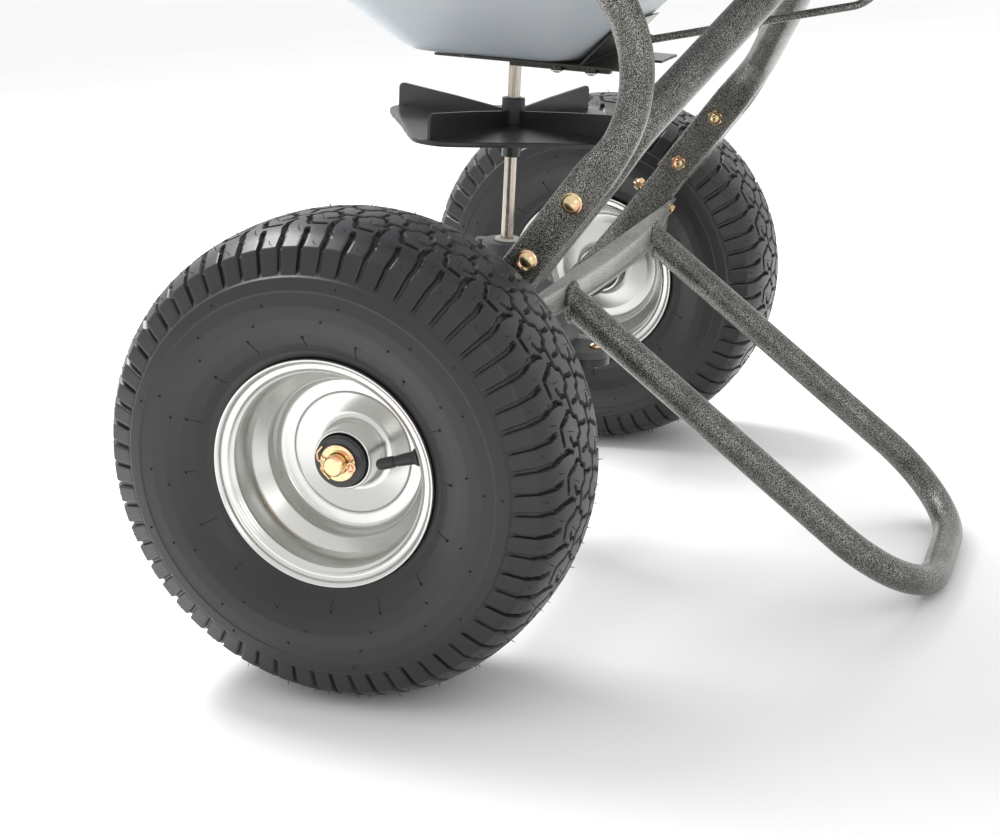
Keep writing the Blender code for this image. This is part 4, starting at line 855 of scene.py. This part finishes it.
def axle():
    """A plated bar with turned ends."""
    profile = [(0, AXLE_END), (0.0066, AXLE_END), (AXLE_RADIUS, AXLE_END - 0.0012)]
    return turned(profile + [(r, -x) for r, x in profile[::-1]], 64, "X", sharp=25)


def wheels():
    """Both wheels' hard pieces, and the axle with its spacers and bushings."""
    hub = at(WHEEL_X)
    lean = Vector((0, -cos(VALVE_LEAN), -sin(VALVE_LEAN)))
    sleeve = mm((15, 7), (15, 4.5), (11, 4.5), (11, -7), (8.2, -7), (8.2, 7))
    show_pairs(
        ("rim_{}_shown", "rim_{}", moved(rim(), hub)),
        ("hub_bushing_{}_shown", "hub_bushing_{}", moved(hub_bushing(), hub)),
        ("hub_washer_{}_shown", "hub_washer_{}", moved(ring(0.0141, 0.0276, 0.0292), hub)),
        ("split_pin_{}", "cotter_pin_{}", moved(cotter_pin(), at(WHEEL_X + PIN_OUT))),
        ("valve_{}", "valve_stem_{}", moved(valve_stem(), at(*VALVE_FOOT) @ facing(lean))),
        ("spacer_{}", "axle_spacer_{}", ring(0.0115, FRAME_X + 0.0074, WHEEL_X - 0.0645)),
        ("frame_bushing_{}", "axle_bushing_{}", moved(washer(sleeve, 0.0005, axis="X"), at(FRAME_X))),
    )
    show("axle_bar", axle(), "axle")


# -------------------------------------------------------------------- frame


def hopper_hoop():
    """One tube: up from each side joint, forward and round the hopper."""
    x = HOOP_X - HOOP_INSET
    elbow = on_side(x, HOOP_BEND_S) + ALONG_SIDE * (HOOP_BEND * math.tan((HOOP_SLOPE + SIDE_ANGLE) / 2))
    rise = Vector((0, -sin(HOOP_SLOPE), cos(HOOP_SLOPE)))
    knee = elbow + rise * ((HOOP_Z - elbow.z) / rise.z)
    front = Vector((x, HOOP_FRONT_Y, HOOP_Z))
    side = [(on_side(x, HOOP_LOW_S), 0), (elbow, HOOP_BEND), (knee, HOOP_KNEE_BEND), (front, HOOP_FRONT_BEND)]

    def shape(from_start, from_end):
        amount = 1 - eased(min(from_start, from_end), 0.0915, 0.128)
        return crushed_section(amount, TUBE_RADIUS, CRUSH_THICKNESS, CRUSH_WIDTH, CRUSH_GROOVE, HOOP_INSET)

    return swept(bent_path(both_sides(side)), shape, 48)


def lower_frame_tube():
    """From the side joint straight down to the axle, where it is pressed flat round the bushing."""
    top, low, bore = 0.0715, -0.142, 0.0113
    path = [on_side(FRAME_X, s) for s in np.arange(top, low, -0.004)]
    path += [Vector((FRAME_X, 0, 0)), Vector((FRAME_X, -0.010, -0.0148))]

    def shape(from_top, _):
        amount = eased(from_top, 0.16, 0.215)
        thickness = CRUSH_THICKNESS + (0.006 - CRUSH_THICKNESS) * amount
        return crushed_section(1, TUBE_RADIUS, thickness, CRUSH_WIDTH + 0.002 * amount)

    mesh = swept(path, shape, 40)
    return combined(mesh, [cylinder((FRAME_X - 0.02, 0, 0), (FRAME_X + 0.02, 0, 0), bore, sides=48)])


def handle_corners():
    """The left handle tube's bends, and the end of its grip."""
    bend = on_side(HANDLE_X, (HANDLE_BEND_Z - LOWER_BOLT.z) / ALONG_SIDE.z)
    foot = bend + HANDLE_IN * ((bend.x - COLUMN_X) / -HANDLE_IN.x)
    top = foot + ALONG_COLUMN * COLUMN_LENGTH
    return bend, foot, top, Vector((GRIP_END_X, top.y + 0.028, top.z + 0.006))


def handle_tube():
    """From the side joint in behind the hopper, up the column and out to the grip."""
    bend, foot, top, end = handle_corners()
    corners = (on_side(HANDLE_X, HANDLE_LOW_S), bend, foot, top, end)
    path = bent_path(list(zip(corners, (0, *HANDLE_BENDS, 0))))

    def shape(from_start, _):
        amount, width = 1 - eased(from_start, 0.090, 0.140), CRUSH_WIDTH + 0.001
        return crushed_section(amount, HANDLE_RADIUS, CRUSH_THICKNESS, width, -CRUSH_GROOVE * 0.4)

    return swept(path, shape, 40)


def grip():
    """A ribbed rubber sleeve with a closed, rounded end and a collar."""
    _, _, top, end = handle_corners()
    radius, groove, collar = GRIP_RADIUS, GRIP_RADIUS - 0.0012, GRIP_RADIUS + 0.0035
    bore = HANDLE_RADIUS + GAP
    profile = [(0, 0.0060), (0.0120, 0.0056), (radius, 0.0015), (radius, -0.0080)]
    for z in np.arange(20) * -0.0052 - 0.010:
        profile += [(radius, z), (groove, z - 0.0010), (groove, z - 0.0024), (radius, z - 0.0034)]
    profile += [(radius, -GRIP_LENGTH + 0.0060), (collar, -GRIP_LENGTH + 0.0025), (collar, -GRIP_LENGTH)]
    profile += [(bore, -GRIP_LENGTH), (bore, -GRIP_LENGTH + 0.02)]
    return moved(turned(rounded(profile, 0.0006, 2), 72), at(*end) @ facing(end - top))


def bolt_dome(radius, height):
    """Profile of a domed head whose seat is at 0, with a rolled edge."""
    reach = (radius**2 + height**2) / (2 * height)
    most = math.asin(radius / reach)
    dome = [(reach * sin(most * k / 8), height - reach * (1 - cos(most * k / 8))) for k in range(9)]
    return dome[:-1] + [(radius * 0.995, 0.0009), (radius, 0.0004), (radius * 0.98, 0)]


def carriage_bolt(s):
    """Through all three tubes at the side joint, its domed head outside."""
    head = HOOP_X + CRUSH_THICKNESS / 2 - CRUSH_GROOVE + GAP
    tip = HANDLE_X - CRUSH_THICKNESS / 2 - 0.0065
    profile = [(r, head + h) for r, h in bolt_dome(0.0082, 0.0052)]
    profile += [(0.004, head), (0.004, tip + 0.0006), (0.0034, tip), (0, tip)]
    return moved(turned(profile, 48, "X", sharp=50), at(*on_side(0, s)))


def hex_nut(across_flats, height, bore=0):
    """A nut or a bolt's head along X, with chamfered corners."""
    radius = across_flats / math.sqrt(3)
    corners = around(radius, 6)
    end, edge = height / 2, height / 2 - 0.0011
    half = [(0, end), (radius * 0.87, end), (radius * 1.01, edge)]
    lens = turned(half + [(r, -h) for r, h in half[::-1]], 48)
    mesh = combined(extruded(corners, height + 0.001), [lens], "INTERSECT")
    if bore:
        mesh = combined(mesh, [cylinder((0, 0, -height), (0, 0, height), bore)])
    mesh.transform(at(height / 2) @ Matrix.Rotation(pi / 2, 4, "Y"))
    smooth(mesh, 20)
    return mesh


def joint_nut(s):
    """A carriage bolt's nut, inside the handle tube."""
    inner_face = HANDLE_X - CRUSH_THICKNESS / 2
    return moved(hex_nut(0.0128, 0.0062, 0.004 + GAP), at(*on_side(inner_face - 0.0050, s)))


def brace_bolt():
    """Through the lower frame tube from behind: a hex head on the brace's tab, a nut in front."""
    middle = on_side(FRAME_X, BRACE_BOLT_S)
    front = middle - REAR_OF_SIDE * (CRUSH_WIDTH / 2 + 0.0095)
    rear = middle + REAR_OF_SIDE * (CRUSH_WIDTH / 2 + 2 * GAP + BRACE_THICKNESS)
    turn = facing(REAR_OF_SIDE, "X", "Z")
    head = moved(hex_nut(0.0113, 0.0045), at(*rear) @ turn)
    nut = moved(hex_nut(0.0113, 0.0057, 0.0030), at(*(front + REAR_OF_SIDE * 0.0028)) @ turn)
    shank = cylinder(front, rear + REAR_OF_SIDE * 0.0048, 0.0032, sides=32)
    return joined([head, nut, shank], 25)


def brace_rear_y(x):
    """Where the bowed brace's web is."""
    return BRACE_END_Y + BRACE_BOW * (1 - (x / BRACE_HALF) ** 2)


def cross_brace():
    """A bowed angle section with a small lower lip, narrowing to a bolted tab at each end."""
    fold, count = 0.0022, 96
    rings = []
    for i in range(count + 1):
        x = BRACE_HALF * (2 * i / count - 1)
        inward = eased(BRACE_HALF - abs(x), 0.0, 0.045)
        rear = brace_rear_y(x) + BRACE_THICKNESS
        web = rear - BRACE_THICKNESS
        low = BRACE_LOW_Z + 0.008 * (1 - inward)
        lip = 0.0004 + 0.0036 * inward
        under = BRACE_TOP_Z - BRACE_THICKNESS
        corner = arc((rear - fold, BRACE_TOP_Z - fold), fold, pi / 2, 0, 6)
        section = [(BRACE_FRONT_Y, under), (BRACE_FRONT_Y, BRACE_TOP_Z - 0.0005)]
        section += [(BRACE_FRONT_Y + 0.0005, BRACE_TOP_Z)] + corner
        section += [(rear, low + 0.0030), (rear + 0.0006, low + 0.0024), (rear + lip, low + 0.0024)]
        section += [(rear + lip, low), (web + 0.0015, low), (web, low + 0.0015), (web, under)]
        rings.append([Vector((x, y, z)) for y, z in section])
    verts = [point for ring in rings for point in ring]
    meshes = [mesh_of(verts, grid_faces(len(rings), len(rings[0]), caps=True))]
    tab = arc((0, 0), 0.0125, -pi / 2, pi / 2, 24) + [(-0.030, 0.0125), (-0.030, -0.0125)]
    for side in (1, -1):
        middle = on_side(side * FRAME_X, BRACE_BOLT_S)
        middle += REAR_OF_SIDE * (CRUSH_WIDTH / 2 + GAP + BRACE_THICKNESS / 2)
        flat = Matrix((
            (side, 0, 0, middle.x),
            (0, ALONG_SIDE.y, REAR_OF_SIDE.y, middle.y),
            (0, ALONG_SIDE.z, REAR_OF_SIDE.z, middle.z),
            (0, 0, 0, 1),
        ))
        meshes.append(extruded(tab, BRACE_THICKNESS, flat))
    return joined(meshes)


def weld_bead(centre, radius_x, radius_z):
    """A rippled ring of weld in the X-Z plane."""
    thickness, ripples = 0.0024, 26
    path = [centre + Vector((radius_x * x, 0, radius_z * z)) for x, z in around(1, ripples * 6)]

    def shape(from_start, from_end):
        phase = ripples * from_start / (from_start + from_end)
        swell = 0.22 * abs(sin(pi * phase)) + 0.06 * sin(phase * 2.3)
        return circle(thickness * (0.86 + swell))

    return swept(path, shape, 12, across=Vector((0, 1, 0)), closed=True, sharp=70)


def stand():
    """A U of tube with both legs welded to the brace's web."""
    bar = STAND_TOP + ALONG_STAND * STAND_LENGTH
    side = [(STAND_TOP + Vector((STAND_X, 0, 0)), 0), (bar + Vector((STAND_X, 0, 0)), STAND_BEND)]
    mesh = tube(bent_path(both_sides(side)), TUBE_RADIUS, 48)
    face = brace_rear_y(STAND_X - TUBE_RADIUS) + BRACE_THICKNESS + GAP
    mesh = combined(mesh, [box((-0.3, face - 0.06, 0.03), (0.3, face, 0.16))])
    beads = []
    along = (face - STAND_TOP.y) / ALONG_STAND.y
    for sign in (1, -1):
        centre = STAND_TOP + ALONG_STAND * along + Vector((sign * STAND_X, 0.0004, 0))
        beads.append(weld_bead(centre, TUBE_RADIUS, TUBE_RADIUS / cos(STAND_ANGLE)))
    return joined([mesh] + beads, 35)


def frame_pieces():
    """The tubes, the stand, the brace and the joints' bolts."""
    pieces = [
        ("lower_tube_{}", "lower_frame_tube_{}", lower_frame_tube()),
        ("handle_bar_{}", "handle_tube_{}", handle_tube()),
        ("rubber_grip_{}", "grip_{}", grip()),
        ("brace_screw_{}", "brace_bolt_{}", brace_bolt()),
    ]
    for place, s in (("lower_{}", 0), ("upper_{}", BOLT_PITCH)):
        pieces.append(("domed_bolt_" + place, "carriage_bolt_" + place, carriage_bolt(s)))
        pieces.append(("hex_nut_" + place, "joint_nut_" + place, joint_nut(s)))
    show_pairs(*pieces)
    show("hoop_tube", hopper_hoop(), "hopper_hoop")
    show("stand_tube", stand(), "stand")
    show("brace_angle", cross_brace(), "cross_brace", bevel=0.0006)
    refined("handle_tie", 0.0006)


# ------------------------------------------------------------------- gearbox


def gearbox_half(upper):
    """One half of the housing: a drum round the axle with bolted flanges, and a boss for the shaft on top."""
    low_x, high_x = BOX_X
    outer, flange, bolt_hole, side = BOX_INNER_RADIUS + BOX_WALL, 0.007, 0.0031, 1 if upper else -1
    profile = [(0, high_x), (outer, high_x), (outer, low_x), (0, low_x)]
    mesh = turned(rounded(profile, 0.0025, 4), 96, "X")
    rear = [(-0.022, 0.050), (0.022, 0.050)] + arc((0, 0.080), 0.022, 0, pi, 24)
    front = [(0.016, -0.050), (-0.016, -0.050)] + arc((0, -0.066), 0.0155, pi, 2 * pi, 20)
    joins = [extruded(outline, flange, at(0, 0, side * flange / 2)) for outline in (rear, front)]
    cuts = [
        cylinder((low_x + BOX_WALL, 0, 0), (high_x - BOX_WALL, 0, 0), BOX_INNER_RADIUS, sides=96),
        cylinder((-0.05, 0, 0), (0.05, 0, 0), AXLE_RADIUS + GAP, sides=48),
    ]
    if upper:
        foot, post, gear_pocket, shaft_hole = BOSS_RADIUS + 0.006, 0.0062, 0.0182, 0.0094
        boss = [(0, BOSS_TOP_Z), (BOSS_RADIUS, BOSS_TOP_Z), (BOSS_RADIUS + 0.0012, 0.0660), (foot, 0.060)]
        joins.append(turned(rounded(boss + [(foot, 0.04), (0, 0.04)], 0.0012, 3), 72))
        joins += [cylinder((0, y, 0.072), (0, y, BOSS_TOP_Z - 0.0006), post) for y in (-0.0235, 0.0235)]
        cuts.append(cylinder((0, 0, 0.03), (0, 0, 0.0835), gear_pocket, sides=48))
        cuts.append(cylinder((0, 0, 0.07), (0, 0, 0.12), shaft_hole, sides=48))
    cuts += [cylinder((0, y, -0.02), (0, y, 0.02), bolt_hole) for y in BOX_BOLT_Y.values()]
    low, high = (-0.2, GAP / 2) if upper else (-GAP / 2, 0.2)
    cuts.append(box((-0.2, -0.2, low), (0.2, 0.2, high)))
    return combined(combined(mesh, joins, "UNION"), cuts)


def gearbox_bolt():
    """A domed screw through both flanges, with its nut below."""
    profile = mm((0, 11.2), (2.2, 11.2), (5, 9.8), (5.5, 7.3), (2.7, 7.3))
    profile += mm((2.7, -7.3), (5.4, -7.3), (5.4, -11), (0, -11))
    return turned(rounded(profile, 0.0005, 3), 40)


def gearbox():
    """The housing with its bolts and shaft bushing. The gears inside keep their CAD shapes."""
    for name in ("upper", "lower"):
        show(f"gearbox_{name}_shell", gearbox_half(name == "upper"), f"gearbox_{name}", bevel=0.0005)
    for end, y in BOX_BOLT_Y.items():
        show(f"gearbox_bolt_{end}_shown", moved(gearbox_bolt(), at(0, y)), f"gearbox_bolt_{end}")
    low, flange, top, bore = 0.0838, BOSS_TOP_Z + GAP, BOSS_TOP_Z + 0.0024, SHAFT_RADIUS + GAP
    profile = [(0.0112, top), (0.0112, flange), (0.0091, flange), (0.0091, low), (bore, low), (bore, top)]
    show("shaft_bushing_shown", washer(profile, 0.0005), "shaft_bushing")
    for node in ("ring_gear", "pinion", "drive_pin"):
        refined(node, 0.0002)


# ------------------------------------------------------------------ impeller


# The impeller's outline: degrees from a fin to halfway to the next, and the edge's distance from the shaft.
PLATE_TURNS = (0, 4, 8, 14, 25, 36, 45)
PLATE_REACHES = (0.1280, 0.1277, 0.1245, 0.1165, 0.1060, 0.1006, 0.0990)


def plate_reach(angle):
    """How far the plate's edge is from the shaft: corners at the fins, bulging sides between."""
    turn = math.degrees(angle - FIN_ANGLE) % 90
    return float(np.interp(min(turn, 90 - turn), PLATE_TURNS, PLATE_REACHES))


def impeller_plate():
    """A thin disc with a rounded edge turned down all round."""
    count = 288
    angles = 2 * pi * np.arange(count) / count
    reach = np.array([plate_reach(a) for a in angles])
    for _ in range(3):
        reach = (np.roll(reach, 1) + 2 * reach + np.roll(reach, -1)) / 4
    # Each row is a ring: how far in from the edge, or else its radius, and how far down from the top.
    edge, wall, lip, hub = 0.006, 0.0016, 0.0042, 0.007
    rows = [(None, hub, 0), (None, 0.03, 0), (None, 0.06, 0), (edge, None, 0)]
    turns = np.radians((0, 22, 45, 67, 90))
    rows += [(wall * (1 - sin(a)), None, wall * (1 - cos(a))) for a in turns]
    rows += [(0, None, lip), (wall, None, lip), (wall, None, 0.0022), (0.0024, None, wall)]
    rows += [(edge, None, wall), (None, 0.06, wall), (None, hub, wall)]
    verts = []
    for inset, radius, drop in rows:
        r = reach - inset if radius is None else np.full(count, radius)
        verts += zip(r * np.cos(angles), r * np.sin(angles), np.full(count, PLATE_Z - drop))
    return mesh_of(verts, grid_faces(len(rows), count, wrap_rows=True), 50)


def impeller():
    """The plate with its hub and four upright fins, each on a foot."""
    bore, low, high = SHAFT_RADIUS + GAP, 0.1715, 0.2237
    hub = [(0.0075, high), (0.0102, 0.2232), (0.0104, PLATE_Z), (0.0085, PLATE_Z - 0.002), (0.0085, low)]
    joins = [impeller_plate(), washer(hub + [(bore, low), (bore, high)], 0.0006)]
    start, end, tip = 0.0095, PLATE_CORNER - 0.003, 0.2222
    side = [(start, PLATE_Z - 0.001), (end, PLATE_Z - 0.001)]
    side += arc((end - 0.005, tip - 0.005), 0.005, 0, pi / 2, 12) + [(0.060, 0.2175), (start, 0.2125)]
    foot = [(start, -0.0024), (end - 0.002, -0.0024), (end - 0.002, 0.0024), (start, 0.0024)]
    for quarter in range(4):
        turn = Matrix.Rotation(FIN_ANGLE + quarter * pi / 2, 4, "Z")
        joins.append(extruded(side, 0.0028, turn @ Matrix.Rotation(pi / 2, 4, "X")))
        joins.append(extruded(foot, 0.0012, turn @ at(0, 0, PLATE_Z + 0.0002)))
    return joined(joins, 40)


def agitator():
    """A collar on the shaft with one bent wire through it, its two ends turned up."""
    bore = SHAFT_RADIUS + GAP
    collar = [(0.0110, 0.3010), (0.0110, 0.2865), (bore, 0.2865), (bore, 0.3010)]
    wire = [Vector(p) for p in mm((-40, 4, 318), (-30, 2, 293.5), (30, -2, 293.5), (40, -4, 318))]
    path = bent_path(list(zip(wire, (0, 0.008, 0.008, 0))), radians(8))
    return joined([washer(collar, 0.0006, 48), tube(path, 0.0028, 20)])


def impeller_pieces():
    """The spinner, its shaft and the agitator."""
    show("impeller_disc", impeller(), "impeller", bevel=0.0006)
    low, high, edge = 0.036, 0.318, 0.0008
    thin = SHAFT_RADIUS - edge
    profile = [(0, low), (thin, low), (SHAFT_RADIUS, low + edge)]
    profile += [(SHAFT_RADIUS, high - edge), (thin, high), (0, high)]
    show("impeller_shaft_bar", turned(profile, 48), "impeller_shaft")
    show("agitator_fingers", agitator(), "agitator")


# -------------------------------------------------------------------- hopper


def rounded_rectangle(half_x, front, rear, radius):
    """Points round a rectangle with round corners, the same number for every size."""
    per_corner, per_side = 18, 6
    points = []
    for x, y, quarter in ((half_x, rear, 0), (-half_x, rear, 1), (-half_x, front, 2), (half_x, front, 3)):
        centre = (x - math.copysign(radius, x), y - radius if y == rear else y + radius)
        start = quarter * pi / 2
        points += arc(centre, radius, start, start + pi / 2, per_corner)
    made = []
    for i, point in enumerate(points):
        made.append(point)
        if i % (per_corner + 1) == per_corner:
            after = Vector(points[(i + 1) % len(points)])
            made += [tuple(Vector(point).lerp(after, k / per_side)) for k in range(1, per_side)]
    return made


def hopper():
    """A moulded tub: funnel, shoulder over the hoop, walls and a rolled rim."""
    wall, thin, outer = HOPPER_WALL, HOPPER_WALL * 0.6, HOPPER_SECTIONS
    inner = []
    for z, half, front, rear, radius in reversed(outer[:-2]):
        level = z < 0.30 or 0.4895 < z < 0.51
        inner.append((z + (wall if level else thin), half - wall, front + wall, rear - wall, radius - thin))
    inner[0] = (outer[-1][0], *inner[0][1:])
    sections = rounded(outer[:6], 0.014, 8)[:-1] + rounded(outer[5:], 0.0032, 5)[:-1]
    for turn in np.linspace(0, pi / 2, 7):
        inset, drop = RIM_ROLL * (1 - cos(turn)), RIM_ROLL * (1 - sin(turn))
        sections.append(np.array(outer[-1]) - np.array((drop, inset, -inset, inset, inset)))
    sections += rounded(inner, 0.004, 5)
    rows = [rounded_rectangle(*section[1:]) for section in sections]
    verts = [(x, y, section[0]) for section, row in zip(sections, rows) for x, y in row]
    mesh = mesh_of(verts, grid_faces(len(rows), len(rows[0]), caps=True), 40)
    holes = ((0, 0, 0.0096), (-PORT_X, PORT_Y, PORT_RADIUS), (PORT_X, PORT_Y, PORT_RADIUS))
    return combined(mesh, [cylinder((x, y, 0.25), (x, y, 0.2785), r, sides=48) for x, y, r in holes])


def plate_screws():
    """Plated pan heads with a slot, under the base plate over its rivets."""
    made = []
    profile = [(r, -h) for r, h in bolt_dome(0.0052, 0.0026)] + [(0, 0)]
    slot = box((-0.006, -0.0005, -0.0039), (0.006, 0.0005, -0.0019))
    head = combined(turned(profile, 32, sharp=50), [slot])
    for x in (-0.056, 0.056):
        for y in (0.056, 0.086):
            made.append(moved(head, at(x, y, 0.2589)))
    return joined(made)


def hopper_pieces():
    """The hopper, and what is bolted under it."""
    show("hopper_tub", hopper(), "hopper")
    refined("hopper_bushing", 0.0003)
    refined("base_plate", 0.0004, cuts=[box((-0.07, -0.04, 0.25), (0.07, 0.012, BASE_LOW_Z))])
    show("plate_screws", plate_screws(), slot="zinc", body=BODIES["base_plate"])
    refined("gate", 0.0003)


# ------------------------------------------------------------------ controls


def control_rod():
    """Hooked through the gate's lug, up behind the column, with an eye round the lever's pin."""
    across = Vector((1, 0, 0))
    rod = tube(bent_path([(ROD_PIN, 0), (ROD_BEND, 0.03), (LEVER_PIN, 0)]), ROD_RADIUS, 24)
    rod = combined(rod, [cylinder(LEVER_PIN - across * 0.02, LEVER_PIN + across * 0.02, 0.0060)])
    eye = washer(mm((8.5, 3.2), (8.5, -3.2), (4.8, -3.2), (4.8, 3.2)), 0.0009, 40, "X")
    hook = cylinder(ROD_PIN - across * 0.0035, ROD_PIN + across * 0.0035, 0.0052)
    end = cylinder(ROD_PIN - across * 0.0105, ROD_PIN, 0.0021)
    return joined([rod, hook, end, moved(eye, at(*LEVER_PIN))])


def knob():
    """The lever's ball-ended knob, with a waist."""
    profile = mm(
        (0, 36), (4.5, 35.4), (9, 33.2), (12.2, 29), (13.5, 23.5), (13, 18),
        (10.8, 12), (8.6, 7), (8, 3.5), (9, 1), (8, 0), (0, 0),
    )
    along = ALONG_COLUMN * cos(LEVER_REST) + BEHIND_COLUMN * sin(LEVER_REST)
    base = LEVER_PIVOT + along * (LEVER_LENGTH + 0.0083) + Vector((LEVER_PLATE_X, 0, 0))
    return moved(turned(rounded(profile, 0.003, 3), 56), at(*base) @ facing(along))


def stop_knob():
    """A fluted hand nut outside the quadrant."""
    low, bore = QUADRANT_X + 0.0015 + GAP, 0.0022 + GAP
    profile = [(0.0104, low + 0.0090), (0.0118, low + 0.0078), (0.0118, low + 0.0030), (0.0060, low)]
    profile += [(bore, low), (bore, low + 0.0090)]
    mesh = washer(profile, 0.0007, 72, "X")
    for vertex in mesh.vertices:
        radius = math.hypot(vertex.co.y, vertex.co.z)
        if radius > 0.008:
            flute = 1 - 0.07 * (0.5 - 0.5 * cos(9 * math.atan2(vertex.co.y, vertex.co.z)))
            vertex.co.y *= flute
            vertex.co.z *= flute
    smooth(mesh, 45)
    along = ALONG_COLUMN * cos(STOP_ANGLE) + BEHIND_COLUMN * sin(STOP_ANGLE)
    return moved(mesh, at(*(LEVER_PIVOT + along * STOP_RADIUS)))


def control_pieces():
    """The rod, the lever and the rate stop on their console."""
    show("rod_bar", control_rod(), "control_rod")
    refined("control_console", 0.0005)
    refined("control_lever", 0.0006)
    refined("lever_pivot_bolt", 0.0004)
    refined("rate_stop_bolt", 0.0003)
    show("lever_knob_ball", knob(), "lever_knob")
    show("stop_hand_nut", stop_knob(), "rate_stop_knob")


# -------------------------------------------------------------------- camera

CAMERA_PLACE = Vector((1.5071, 0.5172, 0.4644))
CAMERA_RIGHT = Vector((-0.33786, 0.94012, 0.04493))
CAMERA_UP = Vector((-0.28672, -0.14828, 0.94647))
LENS_PER_WIDTH = 1.80725


def camera():
    """The photograph's view, placed on the machine as it leans."""
    data = bpy.data.cameras.new("camera")
    data.sensor_width = 36.0
    data.lens = 36.0 * LENS_PER_WIDTH
    data.clip_start = 0.05
    data.clip_end = 60.0
    made = linked("camera", data)
    back = CAMERA_RIGHT.cross(CAMERA_UP)
    axes = Matrix((CAMERA_RIGHT, CAMERA_UP, back)).transposed().to_4x4()
    made.matrix_world = MACHINE @ Matrix.Translation(CAMERA_PLACE) @ axes
    bpy.context.scene.camera = made


def area_light(name, place, target, size, power):
    data = bpy.data.lights.new(name, "AREA")
    data.shape = "RECTANGLE"
    data.size, data.size_y = size
    data.energy = power
    made = linked(name, data)
    made.location = place
    made.rotation_euler = (Vector(target) - Vector(place)).to_track_quat("-Z", "Y").to_euler()


def lights():
    """A white studio with a soft key light above the front, and a weak fill."""
    world = bpy.data.worlds.new("studio")
    bpy.context.scene.world = world
    world.use_nodes = True
    background = world.node_tree.nodes["Background"]
    background.inputs["Color"].default_value = (1.0, 1.0, 1.0, 1)
    background.inputs["Strength"].default_value = 1.02
    area_light("key", (-0.6, -1.4, 2.4), (0.0, 0.0, 0.3), (1.6, 1.2), 125)
    area_light("fill", (2.4, 1.8, 1.2), (0.0, 0.0, 0.3), (1.2, 1.2), 8)


def floor():
    mesh = bpy.data.meshes.new("floor")
    half = 14.0
    corners = [(-half, -half, 0), (half, -half, 0), (half, half, 0), (-half, half, 0)]
    mesh.from_pydata(corners, [], [(0, 1, 2, 3)])
    made = linked("floor", mesh)
    n = Nodes("studio_floor")
    cloud = n.noise(2.0, 2.0)
    colour = n.mix(cloud, 0.3, 0.7, (0.91, 0.91, 0.91), (0.93, 0.93, 0.93))
    mesh.materials.append(n.finish(colour, 0.45, Specular_IOR_Level=0.25))


for node, obj in frame["nodes"].items():
    for slot in obj.material_slots:
        slot.material = MATERIALS[SLOTS[node]]
tyres()
wheels()
frame_pieces()
gearbox()
impeller_pieces()
hopper_pieces()
control_pieces()
camera()
lights()
floor()
bpy.context.scene.view_settings.view_transform = "Standard"
